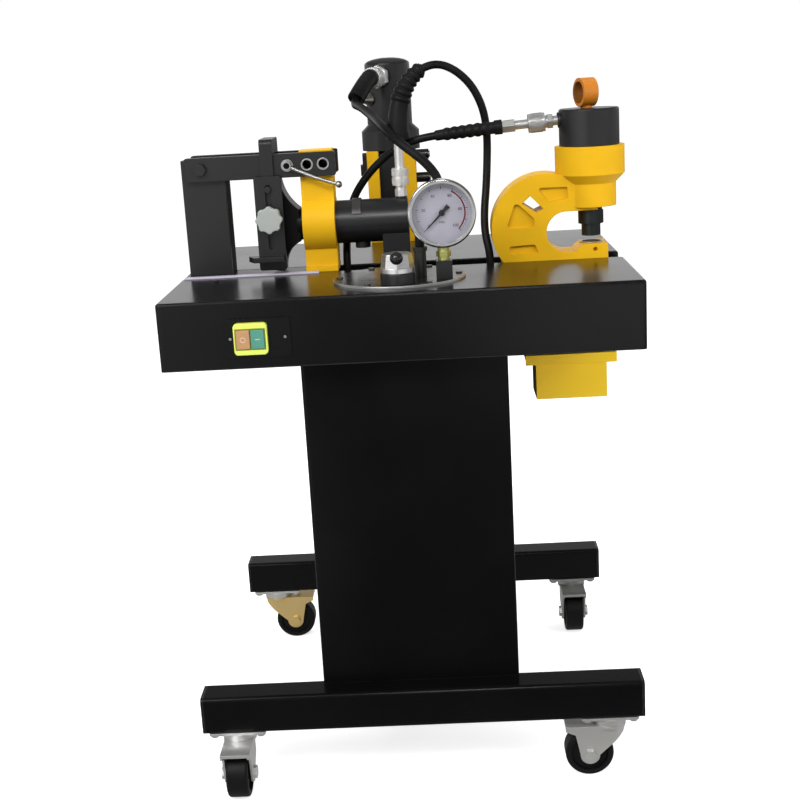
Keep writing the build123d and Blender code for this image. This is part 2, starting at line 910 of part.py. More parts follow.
# Yoke casting: lug between the straps, ring round the cylinder, foot on the base bar
yoke_right = yoke_left + yoke_width
with BuildPart() as bender_yoke:
    with BuildSketch(sideways(yoke_left, unit_y, deck)):
        with Locations((0, bender_axis_rise)):
            Circle(yoke_ring_radius)
        with Locations((0, yoke_top / 2)):
            Rectangle(frame_depth, yoke_top)
        with Locations((0, yoke_foot_height / 2)):
            Rectangle(yoke_foot_depth, yoke_foot_height)
    extrude(amount=yoke_width)
    yoke_plane = sideways(yoke_left, unit_y, bender_axis)
    disc(yoke_plane, yoke_lip, yoke_width, bender_cylinder_radius + shaft_gap, Mode.SUBTRACT)
    disc(yoke_plane, 0, yoke_lip, bender_rod_radius + 2 * shaft_gap, Mode.SUBTRACT)
    for bush_x in bush_positions[1:]:
        disc(frontal(bush_x, frame_front, hole_z), -frame_depth, 0, bush_bore_radius, Mode.SUBTRACT)
finish(bender_yoke, "bender_yoke")

# Bender cylinder with its foot, port boss and drain boss
with BuildPart() as bender_cylinder:
    cylinder_left = yoke_left + yoke_lip
    disc(sideways(0, unit_y, bender_axis), cylinder_left, bender_cylinder_right, bender_cylinder_radius)
    chamfer(bender_cylinder.faces().sort_by(Axis.X)[-1].edges(), 1)
    foot_right = bender_foot_left + bender_foot_width
    foot_half = bender_foot_depth / 2
    foot_top = bender_axis - 20
    block(bender_foot_left, foot_right, unit_y - foot_half, unit_y + foot_half, channel_floor, foot_top)
    disc(upright(bender_port_x, unit_y, bender_axis), 0, bender_port_height, bender_port_radius)
    disc(upright(drain_x, unit_y, bender_axis), -bender_cylinder_radius - drain_length, -20, drain_radius)
    barrel = sideways(0, unit_y, bender_axis)
    disc(barrel, cylinder_left, bender_bore_end, bender_rod_radius + shaft_gap, Mode.SUBTRACT)
finish(bender_cylinder, "bender_cylinder")

# Bender ram: bell-shaped head on a round rod
with BuildPart() as bender_ram:
    with BuildSketch(frontal(0, unit_y - ram_head_depth / 2, deck)):
        with BuildLine():
            low = bender_axis_rise - bender_rod_radius
            high = bender_axis_rise + bender_rod_radius
            Line((ram_nose_x, ram_head_bottom), (ram_shoulder_x, ram_head_bottom))
            foot_swell = (ram_shoulder_x + 9, low - 16)
            ThreePointArc((ram_shoulder_x, ram_head_bottom), foot_swell, (ram_neck_x, low))
            Line((ram_neck_x, low), (ram_neck_x, high))
            head_swell = (ram_shoulder_x + 9, high + 22)
            ThreePointArc((ram_neck_x, high), head_swell, (ram_shoulder_x, ram_head_top))
            Line((ram_shoulder_x, ram_head_top), (ram_nose_x, ram_head_top))
            Line((ram_nose_x, ram_head_top), (ram_nose_x, ram_head_bottom))
        make_face()
    extrude(amount=-ram_head_depth)
    nose_edges = bender_ram.faces().sort_by(Axis.X)[0].edges().filter_by(Axis.Z)
    chamfer(nose_edges, 12)
    disc(sideways(0, unit_y, bender_axis), ram_neck_x - 4, ram_rod_end, bender_rod_radius)
finish(bender_ram, "bender_ram")

# Adjustable rest: hook over both straps, slotted plate, star knob
hook_front = strap_front - slide_gap - hook_sheet
hook_rear = frame_rear + strap_thickness + slide_gap + hook_sheet
hook_left = rest_x - hook_width / 2
hook_right = rest_x + hook_width / 2
strap_top = deck + strap_bottom + strap_height
with BuildPart() as rest_hook:
    block(hook_left, hook_right, hook_front, hook_rear, strap_top + slide_gap, deck + hook_top)
    fillet(rest_hook.faces().sort_by(Axis.Z)[-1].edges().filter_by(Axis.X), 8)
    front_inner = hook_front + hook_sheet
    block(hook_left, hook_right, hook_front, front_inner, deck + hook_leg_bottom, strap_top + 8)
    block(hook_left, hook_right, hook_rear - hook_sheet, hook_rear, deck + strap_bottom - 4, strap_top + 8)
    knob_plane = frontal(rest_x, hook_front, deck + knob_rise)
    disc(knob_plane, -hook_sheet, 0, stud_radius + shaft_gap, Mode.SUBTRACT)
    screw_plane = frontal(rest_x, hook_front, deck + guide_screw_rise)
    screw_seat = rest_plate_thickness + 2 * slide_gap
    disc(screw_plane, -hook_sheet, screw_seat, stud_radius - 0.5)
    disc(screw_plane, screw_seat, screw_seat + 4, guide_screw_radius)
finish(rest_hook, "rest_hook")

plate_back = hook_front - slide_gap
plate_front = plate_back - rest_plate_thickness
with BuildPart() as rest_plate:
    with BuildSketch(frontal(0, plate_back, deck)):
        with Locations((rest_x, (rest_plate_bottom + rest_plate_top) / 2)):
            RectangleRounded(rest_plate_width, rest_plate_top - rest_plate_bottom, 4)
        with Locations((rest_x, (slot_bottom + slot_top) / 2)):
            SlotOverall(slot_top - slot_bottom, slot_width, rotation=90, mode=Mode.SUBTRACT)
    extrude(amount=rest_plate_thickness)
    with BuildSketch(upright(0, 0, deck + ledge_bottom)):
        with BuildLine():
            Polyline(
                (ledge_left, plate_front),
                (ledge_left + 10, plate_front - ledge_reach),
                (ledge_right, plate_front - ledge_reach),
                (ledge_right, plate_back),
                (ledge_left, plate_back),
                close=True,
            )
        make_face()
    extrude(amount=ledge_thickness)
finish(rest_plate, "rest_plate")

with BuildPart() as rest_knob:
    grip = frontal(rest_x, plate_front - slide_gap, deck + knob_rise)
    with BuildSketch(grip.offset(knob_hub_length)):
        Circle(knob_core_radius)
        with PolarLocations(knob_radius - knob_lobe_radius, knob_lobes):
            Circle(knob_lobe_radius)
    extrude(amount=knob_thickness)
    fillet(rest_knob.faces().sort_by(Axis.Y)[0].edges(), 1.5)
    disc(grip, 0, knob_hub_length, knob_hub_radius)
    disc(grip, -slide_gap * 2 - rest_plate_thickness - hook_sheet, 0, stud_radius)
finish(rest_knob, "rest_knob")

# Hitch pin through the first pair of bushes, with a bent rod handle
with BuildPart() as hitch_pin:
    pin_plane = frontal(bush_positions[0], strap_front - bush_proud, hole_z)
    pin_length = bush_proud + strap_thickness + frame_depth + blind_depth - slide_gap
    disc(pin_plane, -pin_length, 0, bush_bore_radius - shaft_gap)
    disc(pin_plane, 0, pin_stick_out, bush_bore_radius - shaft_gap)
    handle_y = strap_front - bush_proud - pin_stick_out
    handle_start = place(bush_positions[0], handle_y + handle_radius + 1, hole_z)
    handle_end = place(handle_end_x, handle_y + handle_radius + 1, deck + handle_end_rise)
    handle_middle = (handle_start + handle_end) * 0.5 - Vector(0, 0, handle_sag)
    with BuildLine():
        rod = ThreePointArc(handle_start, handle_middle, handle_end)
    with BuildSketch(Plane(origin=rod @ 0, x_dir=(0, 1, 0), z_dir=rod % 0)):
        Circle(handle_radius)
    sweep()
    with Locations(handle_end):
        Sphere(handle_ball_radius, -ball_flat_angle, ball_flat_angle)
finish(hitch_pin, "hitch_pin")

# Bend scale on the rear edge of the front deck
with BuildPart() as bend_scale:
    scale_rear = channel_front - scale_edge_gap
    block(scale_left, scale_right, scale_rear - scale_depth, scale_rear, deck, deck + scale_thickness)
finish(bend_scale, "bend_scale")

# Cutter: two window plates joined by the bed
cutter_left = cutter_x - cutter_gap / 2 - cutter_plate
cutter_right = cutter_x + cutter_gap / 2 + cutter_plate
half_gap = cutter_gap / 2
half_frame = cutter_frame_depth / 2
clamp_y = cutter_y - clamp_forward
with BuildPart() as cutter_frame:
    frame_top = deck + cutter_frame_height
    block(cutter_left, cutter_right, cutter_y - half_frame, cutter_y + half_frame, deck, frame_top)
    block(
        cutter_x - half_gap,
        cutter_x + half_gap,
        cutter_y - half_frame,
        cutter_y + half_frame,
        deck + cutter_bed_height,
        frame_top,
        Mode.SUBTRACT,
    )
    block(
        cutter_left,
        cutter_right,
        cutter_y - cutter_window_depth / 2,
        cutter_y + cutter_window_depth / 2,
        deck + cutter_bed_height,
        deck + cutter_window_top,
        Mode.SUBTRACT,
    )
    block(
        cutter_x - blade_thickness / 2 - slide_gap,
        cutter_x + blade_thickness / 2 + slide_gap,
        cutter_y - half_frame,
        cutter_y + half_frame,
        deck + cutter_bed_height - blade_slot_depth,
        deck + cutter_bed_height,
        Mode.SUBTRACT,
    )
    clamp_plane = sideways(cutter_left, clamp_y, deck + clamp_rise)
    disc(clamp_plane, 0, clamp_stud_length + 1, clamp_stud_radius + shaft_gap, Mode.SUBTRACT)
finish(cutter_frame, "cutter_frame")

collar_bottom = frame_top
collar_top = collar_bottom + cutter_collar_height
shoulder_top = collar_top + cutter_shoulder_height
coupler_way = (-sin(radians(coupler_turn)), -cos(radians(coupler_turn)), 0)
coupler_spot = place(cutter_x, cutter_y, deck + coupler_rise)
coupler_plane = Plane(origin=coupler_spot, x_dir=(0, 0, 1), z_dir=coupler_way)
boss_end = cutter_cylinder_radius + coupler_boss_length
bleed_way = (-sin(radians(bleed_turn)), -cos(radians(bleed_turn)), 0)
bleed_spot = place(cutter_x, cutter_y, deck + bleed_rise)
bleed_plane = Plane(origin=bleed_spot, x_dir=(0, 0, 1), z_dir=bleed_way)
bleed_seat = cutter_cylinder_radius + bleed_boss_length
with BuildPart() as cutter_cylinder:
    cutter_axis = upright(cutter_x, cutter_y, 0)
    disc(cutter_axis, collar_bottom, collar_top, cutter_collar_radius)
    cone(cutter_axis, collar_top, shoulder_top, cutter_collar_radius, cutter_cylinder_radius)
    disc(cutter_axis, shoulder_top, deck + cutter_rim, cutter_cylinder_radius)
    with BuildSketch(frontal(cutter_x, cutter_y, deck + cutter_rim)):
        with BuildLine():
            crown = EllipticalCenterArc(
                (0, 0), cutter_cylinder_radius, cutter_crown, start_angle=0, arc_size=cutter_crown_sweep
            )
            Polyline(crown @ 1, (0, (crown @ 1).Y), (0, 0), crown @ 0)
        make_face()
    revolve(axis=Axis(place(cutter_x, cutter_y, 0), (0, 0, 1)))
    disc(coupler_plane, cutter_cylinder_radius - 12, boss_end, coupler_boss_radius)
    disc(bleed_plane, cutter_cylinder_radius - 5, bleed_seat, bleed_radius)
    cutter_bore = cutter_rod_radius + shaft_gap
    disc(cutter_axis, collar_bottom, deck + cutter_bore_top, cutter_bore, Mode.SUBTRACT)
finish(cutter_cylinder, "cutter_cylinder")

with BuildPart() as cutter_ram:
    ram_half = half_gap - slide_gap
    ram_deep = ram_block_depth / 2
    block(
        cutter_x - ram_half,
        cutter_x + ram_half,
        cutter_y - ram_deep,
        cutter_y + ram_deep,
        deck + ram_block_bottom,
        deck + ram_block_top,
    )
    with BuildSketch(sideways(cutter_x - blade_thickness / 2, cutter_y, deck)):
        with BuildLine():
            Polyline(
                (-blade_depth / 2, ram_block_bottom),
                (-blade_depth / 2, blade_bottom + blade_slant),
                (blade_depth / 2, blade_bottom),
                (blade_depth / 2, ram_block_bottom),
                close=True,
            )
        make_face()
    extrude(amount=blade_thickness)
    disc(cutter_axis, deck + ram_block_top, deck + cutter_rod_top, cutter_rod_radius)
finish(cutter_ram, "cutter_ram")

with BuildPart() as cutter_handle:
    disc(clamp_plane, -clamp_stand_off, clamp_stud_length, clamp_stud_radius)
    grip_plane = clamp_plane.offset(-clamp_stand_off)
    rounded(grip_plane, -clamp_top_thickness, 0, clamp_bar_width, clamp_bar_length, 3)
    with BuildSketch(grip_plane):
        with Locations((0, -clamp_bar_length / 4)):
            RectangleRounded(clamp_bar_width, clamp_bar_length / 2, 3)
    extrude(amount=-clamp_thickness)
finish(cutter_handle, "cutter_handle")

# Punch: C-frame casting with head, neck, jaw and foot
punch_front = unit_y - punch_frame_depth / 2
punch_rear = unit_y + punch_frame_depth / 2
punch_axis = upright(punch_axis_x, unit_y, deck)
with BuildPart() as punch_frame:
    with BuildSketch(frontal(0, punch_front, deck)):
        with Locations((punch_outer_x, punch_outer_rise)):
            Circle(punch_outer_radius)
        with Locations((punch_outer_x, -60)):
            Rectangle(240, 120, mode=Mode.SUBTRACT)
        throat_low = throat_rise - throat_radius
        with Locations(((punch_foot_left + jaw_right) / 2, (throat_low - channel_depth) / 2)):
            Rectangle(jaw_right - punch_foot_left, throat_low + channel_depth)
        with Locations(((jaw_left + jaw_right) / 2, jaw_top / 2)):
            Rectangle(jaw_right - jaw_left, jaw_top)
        with Locations((throat_x, throat_rise)):
            Circle(throat_radius, mode=Mode.SUBTRACT)
        throat_top = throat_rise + throat_radius
        with Locations((throat_x, jaw_top)):
            Rectangle(90, throat_top - jaw_top, align=(Align.MIN, Align.MIN), mode=Mode.SUBTRACT)
        with BuildLine():
            Polyline(
                (throat_x, throat_low),
                (jaw_left, throat_low),
                (jaw_left + jaw_slope, jaw_top),
                (jaw_left + jaw_slope, throat_rise),
                (throat_x, throat_rise),
                close=True,
            )
        make_face(mode=Mode.SUBTRACT)
    extrude(amount=-punch_frame_depth)
    for face_y, way in ((punch_front, -1), (punch_rear, 1)):
        for corners in pockets:
            with BuildSketch(frontal(0, face_y, deck)) as hollow:
                with BuildLine():
                    Polyline(*corners, close=True)
                make_face()
                fillet(hollow.vertices(), pocket_corner)
            extrude(amount=way * pocket_depth, mode=Mode.SUBTRACT)
    with BuildSketch(frontal(0, punch_front, deck)):
        with BuildLine():
            Polyline(*window, close=True)
        make_face()
    extrude(amount=-punch_frame_depth, mode=Mode.SUBTRACT)
    jaw_hole = frontal(jaw_hole_x, punch_front, deck + jaw_hole_rise)
    disc(jaw_hole, -jaw_hole_depth, 0, jaw_hole_radius, Mode.SUBTRACT)
    disc(punch_axis, neck_bottom, neck_top, neck_radius)
    cone(punch_axis, neck_top, head_bottom, neck_radius, head_radius)
    disc(punch_axis, head_bottom, head_top, head_radius)
    disc(punch_axis, throat_top - 1, flange_pocket_top, flange_pocket_radius, Mode.SUBTRACT)
    disc(punch_axis, flange_pocket_top, head_top, punch_rod_radius + shaft_gap, Mode.SUBTRACT)
    disc(punch_axis, die_seat, jaw_top, die_radius + shaft_gap, Mode.SUBTRACT)
    disc(punch_axis, -channel_depth, die_seat, die_hole_radius, Mode.SUBTRACT)
finish(punch_frame, "punch_frame")

with BuildPart() as punch_die:
    disc(punch_axis, die_seat, jaw_top + die_proud, die_radius)
    disc(punch_axis, die_seat, jaw_top + die_proud, die_hole_radius, Mode.SUBTRACT)
finish(punch_die, "punch_die")

with BuildPart() as punch_ram:
    disc(punch_axis, punch_bottom, flange_ram_bottom, punch_radius)
    disc(punch_axis, flange_ram_bottom, flange_ram_top, flange_ram_radius)
    disc(punch_axis, flange_ram_top, punch_rod_top, punch_rod_radius)
finish(punch_ram, "punch_ram")

with BuildPart() as punch_cylinder:
    disc(punch_axis, head_top, punch_cylinder_top, punch_cylinder_radius)
    chamfer(punch_cylinder.faces().sort_by(Axis.Z)[-1].edges(), 2)
    port_way = (-cos(radians(punch_port_tilt)), 0, -sin(radians(punch_port_tilt)))
    port_spot = place(punch_axis_x, unit_y, deck + punch_port_rise)
    port_plane = Plane(origin=port_spot, x_dir=(0, 1, 0), z_dir=port_way)
    port_face = punch_cylinder_radius + 2
    disc(port_plane, 20, port_face, punch_port_radius)
    disc(punch_axis, head_top, punch_bore_top, punch_rod_radius + shaft_gap, Mode.SUBTRACT)
finish(punch_cylinder, "punch_cylinder")

with BuildPart() as lifting_ring:
    ring_way = (-cos(radians(ring_turn)), -sin(radians(ring_turn)), 0)
    ring_rise = punch_cylinder_top + ring_pad_height + ring_radius - 1
    ring_spot = place(ring_x, unit_y, deck + ring_rise)
    ring_plane = Plane(origin=ring_spot, x_dir=(0, 0, 1), z_dir=ring_way)
    disc(ring_plane, -ring_width / 2, ring_width / 2, ring_radius)
    ring_pad = upright(ring_x, unit_y, deck + punch_cylinder_top)
    disc(ring_pad, 0, ring_pad_height + 2, ring_pad_radius)
    disc(ring_plane, -ring_width / 2, ring_width / 2, ring_bore_radius, Mode.SUBTRACT)
finish(lifting_ring, "lifting_ring")

# Scrap box on its runners under the die
rim_top = deck - scrap_rim_drop
rim_bottom = rim_top - scrap_rim_height
scrap_front_y = table_y - scrap_front
scrap_rear_y = scrap_front_y + scrap_depth
rim_half = scrap_rim_width / 2
flange_half = scrap_flange_width / 2
box_half = scrap_width / 2
flange_back = scrap_front_y + scrap_flange_thickness
lip_bottom = rim_bottom + runner_sheet + slide_gap
with BuildPart() as scrap_box:
    box_bottom = rim_bottom - scrap_height
    box_front = scrap_front_y + scrap_set_back
    block(scrap_x - box_half, scrap_x + box_half, box_front, scrap_rear_y, box_bottom, rim_top)
    block(scrap_x - rim_half, scrap_x + rim_half, flange_back, scrap_rear_y, lip_bottom, rim_top)
    block(scrap_x - flange_half, scrap_x + flange_half, scrap_front_y, flange_back, rim_bottom, rim_top)
    block(
        scrap_x - box_half + scrap_wall,
        scrap_x + box_half - scrap_wall,
        box_front + scrap_wall,
        scrap_rear_y - scrap_wall,
        box_bottom + scrap_wall,
        rim_top,
        Mode.SUBTRACT,
    )
finish(scrap_box, "scrap_box")

with BuildPart() as scrap_runners:
    runner_front = flange_back + slide_gap
    for side in (-1, 1):
        outer = scrap_x + side * (rim_half + slide_gap + runner_sheet)
        face = scrap_x + side * (rim_half + slide_gap)
        lip = face - side * (rim_half - box_half - slide_gap)
        block(min(outer, face), max(outer, face), runner_front, scrap_rear_y, rim_bottom, table_bottom)
        lip_top = rim_bottom + runner_sheet
        block(min(face, lip), max(face, lip), runner_front, scrap_rear_y, rim_bottom, lip_top)
    for wall_y in (runner_front, scrap_rear_y - runner_sheet):
        wall_half = rim_half + slide_gap
        wall_low = rim_top + slide_gap
        wall_end = wall_y + runner_sheet
        block(scrap_x - wall_half, scrap_x + wall_half, wall_y, wall_end, wall_low, table_bottom)
finish(scrap_runners, "scrap_runners")

# Quick couplers: bender, cutter and punch, with the fitting on the flange
bender_port_top = bender_axis + bender_port_height
with BuildPart() as quick_couplers:
    rise = upright(bender_port_x, unit_y, bender_port_top)
    knurl_low = bender_nipple_length
    knurl_high = knurl_low + bender_knurl_length
    tube_high = knurl_high + bender_tube_length
    disc(rise, 0, knurl_low, bender_nipple_radius)
    nut(rise, 0, knurl_low - 6, bender_nut_radius)
    disc(rise, knurl_low, knurl_high, bender_knurl_radius)
    disc(rise, knurl_high, tube_high, bender_tube_radius)
    cone(rise, tube_high, tube_high + bender_cone_length, bender_tube_radius, hose_radius + 0.6)
    nut_end = boss_end + coupler_nut_length
    knurl_end = nut_end + coupler_knurl_length
    nut(coupler_plane, boss_end, nut_end, coupler_nut_radius)
    disc(coupler_plane, nut_end, knurl_end, coupler_knurl_radius)
    step = port_face + punch_neck_length
    disc(port_plane, port_face, step, punch_neck_radius)
    nut(port_plane, step, step + punch_hex_length, punch_hex_radius)
    step += punch_hex_length
    for length, radius in (
        (punch_collar_length, punch_collar_radius),
        (punch_knurl_length, punch_knurl_radius),
        (punch_tube_length, punch_tube_radius),
    ):
        disc(port_plane, step, step + length, radius)
        step += length
    nut(port_plane, step, step + punch_nut_length, punch_nut_radius)
    punch_coupler_end = step + punch_nut_length
    fitting = upright(fitting_x, table_y - fitting_forward, flange_top)
    disc(fitting, 0, fitting_height, fitting_radius)
    disc(fitting, fitting_height - fitting_ring_height, fitting_height, fitting_ring_radius)
finish(quick_couplers, "quick_couplers")

# Fasteners: flange screws, strap bushes, hose clip, hinge pin head and bleed fitting
with BuildPart() as fasteners:
    with BuildSketch(pump_plane.offset(flange_thickness)):
        with PolarLocations(flange_screw_circle, flange_screw_count):
            RegularPolygon(screw_head_radius, 6)
    extrude(amount=screw_head_height)
    for bush_x in bush_positions:
        bush_plane = frontal(bush_x, strap_front, hole_z)
        disc(bush_plane, -strap_thickness, bush_proud, bush_radius)
        disc(bush_plane, -strap_thickness, bush_proud, bush_bore_radius, Mode.SUBTRACT)
    with BuildSketch(sideways(clip_x, unit_y, bender_axis)):
        Circle(bender_cylinder_radius + shaft_gap + clip_thickness)
        Circle(bender_cylinder_radius + shaft_gap, mode=Mode.SUBTRACT)
        with Locations((0, clip_start)):
            cut_size = 4 * bender_cylinder_radius
            Rectangle(cut_size, cut_size, align=(Align.CENTER, Align.MAX), mode=Mode.SUBTRACT)
    extrude(amount=clip_width)
    for hinge_rise in hinge_rises:
        hinge = sideways(cutter_right, clamp_y, deck + hinge_rise)
        disc(hinge, 0, hinge_head_length, hinge_head_radius)
        disc(hinge, hinge_head_length, hinge_head_length + hinge_end_length, hinge_end_radius)
    cone(bleed_plane, bleed_seat, bleed_seat + bleed_length, bleed_radius, bleed_radius / 2)
finish(fasteners, "fasteners")

# Hoses: routes are counted from the deck's centre, X right, Y back, Z up
bender_top = bender_axis_rise + bender_port_height + tube_high + bender_cone_length
bender_route = [
    (bender_port_x, -channel_forward, bender_top),
    (bender_port_x, -channel_forward, 228),
    (10, -35, 260),
    (24, -34, 287),
    (45, -31, 305),
    (72, -26, 311),
    (99, -20, 299),
    (122, -14, 276),
    (136, -9, 249),
    (143, -5, 222),
    (145, -3, 190),
    (143, -4, 150),
    (140, -10, 114),
    (135, -22, 78),
    (134, -38, 44),
    (*bender_grommet, 12),
    (*bender_grommet, -20),
]
coupler_x = punch_axis_x - punch_coupler_end * cos(radians(punch_port_tilt))
coupler_z = punch_port_rise - punch_coupler_end * sin(radians(punch_port_tilt))
run_in_x = punch_run_in * cos(radians(punch_port_tilt))
run_in_z = punch_run_in * sin(radians(punch_port_tilt))
punch_route = [
    (*punch_grommet, -20),
    (*punch_grommet, 10),
    (-89, -3, 40),
    (-85, 11, 72),
    (-75, 9, 106),
    (-56, 4, 135),
    (-31, -2, 161),
    (-5, -10, 181),
    (30, -26, 197),
    (coupler_x - run_in_x, -channel_forward, coupler_z - run_in_z),
    (coupler_x, -channel_forward, coupler_z),
]
boot_start = coupler_plane.from_local_coords((0, 0, knurl_end))
boot_bend = coupler_plane.from_local_coords((0, 0, knurl_end + boot_reach))
boot_end = coupler_spot + Vector(-boot_mouth_left, -boot_mouth_forward, -boot_mouth_drop)
boot_way = (boot_end - boot_bend).normalized()
mouth_run = [boot_end - boot_way * boot_mouth_depth, boot_end + boot_way * boot_straight]
cutter_points = mouth_run + on_table(
    [
        (-60, 118, 247),
        (-38.5, 45, 233),
        (-25.5, -20, 224),
        (-13.5, -60, 215),
        (3.5, -80, 198.5),
        (26, -98, 181.5),
        (49.5, -118, 162.5),
        (66, -141, 139),
        (57, -165, 117),
        (44, -178, 98),
        (fitting_x, -fitting_forward, 74),
        (fitting_x, -fitting_forward, flange_thickness + fitting_height),
    ]
)


def bend_radii(points):
    """Radius at each inner point of a route, from its shorter run and its turn."""
    radii = []
    for before, here, after in zip(points, points[1:], points[2:]):
        inward = here - before
        outward = after - here
        turn = acos(inward.normalized().dot(outward.normalized()))
        radii.append(0.45 * min(inward.length, outward.length) / tan(turn / 2))
    return radii


def route_line(points):
    """Straight runs joined by arcs that touch them."""
    with BuildLine() as line:
        FilletPolyline(*points, radius=bend_radii(points))
    return line.wire()


def start_plane(wire):
    """Plane across the start of a route."""
    return Plane(origin=wire.position_at(0), z_dir=wire.tangent_at(0))


hose_lines = {
    "bender_hose": (route_line(on_table(bender_route)), hose_radius),
    "punch_hose": (route_line(on_table(punch_route)), hose_radius),
    "cutter_hose": (route_line(cutter_points), cutter_hose_radius),
}
for hose_name, (line, radius) in hose_lines.items():
    with BuildPart() as hose:
        with BuildSketch(start_plane(line)):
            Circle(radius)
        sweep(path=line)
    print(hose_name, "length", round(line.length, 1))
    finish(hose, hose_name)


def ribbed(line, stations):
    """Ruled loft through circles set along a route, at (distance, radius) stations."""
    rings = []
    for distance, radius in stations:
        spot = distance / line.length
        across = Plane(origin=line.position_at(spot), x_dir=(0, 1, 0), z_dir=line.tangent_at(spot))
        with BuildSketch(across) as ring:
            Circle(radius)
        rings.append(ring.sketch.face())
    loft(rings, ruled=True)


def ribs(first, pitch, count, low, high, shrink):
    """Stations of a row of ribs, four circles each, that get thinner along the row."""
    stations = []
    for index in range(count):
        start = first + index * pitch
        thin = shrink * index
        stations.append((start, low - thin))
        stations.append((start + 0.2 * pitch, high - thin))
        stations.append((start + 0.55 * pitch, high - thin))
        stations.append((start + 0.75 * pitch, low - thin))
    return stations


# Rubber sleeves over the hose ends, the cutter's boot and the two grommets
with BuildPart() as hose_sleeves:
    bender_line = hose_lines["bender_hose"][0]
    punch_line = hose_lines["punch_hose"][0]
    collar = [(0, 18.5), (12, 18.5), (15, 17.5), (60, 15.5)]
    ribbed(bender_line, collar + ribs(63, rib_pitch_bender, 5, 11.5, 13.8, 0.3) + [(122, 9)])
    punch_start = punch_line.length - 106
    tail = [(punch_line.length - 14, 9.5), (punch_line.length - 12, 11.5), (punch_line.length, 11.5)]
    punch_ribs = ribs(punch_start + 4, rib_pitch_punch, 6, 8.8, 10.4, -0.1)
    ribbed(punch_line, [(punch_start, 8.2)] + punch_ribs + tail)
    for line in (bender_line, punch_line):
        with BuildSketch(start_plane(line)):
            Circle(hose_radius + sleeve_gap)
        sweep(path=line, mode=Mode.SUBTRACT)
    with BuildLine() as boot_line:
        FilletPolyline(boot_start, boot_bend, boot_end, radius=boot_bend_radius)
    with BuildSketch(Plane(origin=boot_start, z_dir=coupler_way)):
        Circle(boot_radius)
    sweep(path=boot_line.wire())
    disc(Plane(origin=boot_end, z_dir=boot_way), -boot_mouth_depth, 0, boot_mouth_radius, Mode.SUBTRACT)
    for hole_x, hole_y in (bender_grommet, punch_grommet):
        grommet = upright(hole_x, table_y + hole_y, channel_floor)
        disc(grommet, -deck_sheet, 0, grommet_radius)
        disc(grommet, 0, grommet_lip, grommet_lip_radius)
        disc(grommet, -deck_sheet, grommet_lip, hose_radius + sleeve_gap, Mode.SUBTRACT)
finish(hose_sleeves, "hose_sleeves")
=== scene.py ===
"""Looks of a wheeled busbar processing machine: finishes, hoses, sleeves, fittings and a plain studio."""

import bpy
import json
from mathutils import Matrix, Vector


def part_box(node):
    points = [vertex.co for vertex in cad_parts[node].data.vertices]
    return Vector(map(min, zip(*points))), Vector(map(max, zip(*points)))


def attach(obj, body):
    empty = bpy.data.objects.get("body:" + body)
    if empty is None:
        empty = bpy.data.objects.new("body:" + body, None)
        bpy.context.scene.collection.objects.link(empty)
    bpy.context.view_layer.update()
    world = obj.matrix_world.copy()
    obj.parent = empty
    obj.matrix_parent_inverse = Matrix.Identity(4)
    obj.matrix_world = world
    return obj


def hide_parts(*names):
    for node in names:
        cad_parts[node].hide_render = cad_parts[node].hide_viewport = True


bl_info = {
    "name": "Busbar Processing Machine",
    "version": (1, 0, 0),
    "blender": (4, 5, 0),
    "location": "View3D > Sidebar > Busbar Machine",
    "description": "Dresses the solids of a busbar bender, cutter and punch on one wheeled table",
    "category": "Object",
}

import json
from math import cos, pi, radians, sin

import bmesh
import bpy
from bpy.props import FloatProperty, FloatVectorProperty, IntProperty, PointerProperty
from mathutils import Matrix, Vector

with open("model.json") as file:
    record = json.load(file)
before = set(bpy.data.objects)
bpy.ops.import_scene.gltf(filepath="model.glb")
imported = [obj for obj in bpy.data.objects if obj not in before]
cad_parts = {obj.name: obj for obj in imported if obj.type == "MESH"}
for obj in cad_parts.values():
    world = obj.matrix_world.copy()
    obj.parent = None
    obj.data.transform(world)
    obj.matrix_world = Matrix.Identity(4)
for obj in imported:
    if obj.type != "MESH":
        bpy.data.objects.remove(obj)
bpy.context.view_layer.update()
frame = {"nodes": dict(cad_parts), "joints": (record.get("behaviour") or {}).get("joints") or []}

FRONT = Vector((0, -1, 0))
REAR = Vector((0, 1, 0))
UP = Vector((0, 0, 1))
DOWN = Vector((0, 0, -1))

# From the frame: the deck's centre in millimetres, to a hundredth, and the turning joints' points in metres
table_low, table_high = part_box("table_body")
table_middle = (table_low + table_high) / 2
DECK_CENTRE = Vector([round(part * 1000, 2) for part in (*table_middle.xy, table_high.z)])
PIVOTS = {joint["name"]: Vector(joint["pos_m"]) for joint in frame["joints"] if "pos_m" in joint}


def spot(x, y, z):
    """Point counted from the deck's centre in millimetres, in metres of the shared frame."""
    return (DECK_CENTRE + Vector((x, y, z))) / 1000


def facing(origin, way):
    """Matrix that puts local Z along a direction at a point, and local Y upwards where that can be."""
    z = way.normalized()
    x = UP.cross(z)
    if x.length < 1e-6:
        x = Vector((1, 0, 0))
    x.normalize()
    turn = Matrix((x, z.cross(x), z)).transposed().to_4x4()
    return Matrix.Translation(origin) @ turn


def on_face(node, way):
    """Matrix that puts local Z out of the middle of one side of a solid's box."""
    low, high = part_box(node)
    return facing((low + high) / 2 + (high - low) / 2 * way, way)


def colour_property(title, words, default):
    """A colour that a user may change."""
    return FloatVectorProperty(
        name=title, description=words, subtype="COLOR", size=3, min=0, max=1, default=default
    )


def length_property(title, words, default):
    """A length in metres that a user may change."""
    return FloatProperty(name=title, description=words, unit="LENGTH", default=default, min=0)


def count_property(title, words, default, least):
    """A number of like things that a user may change."""
    return IntProperty(name=title, description=words, default=default, min=least)


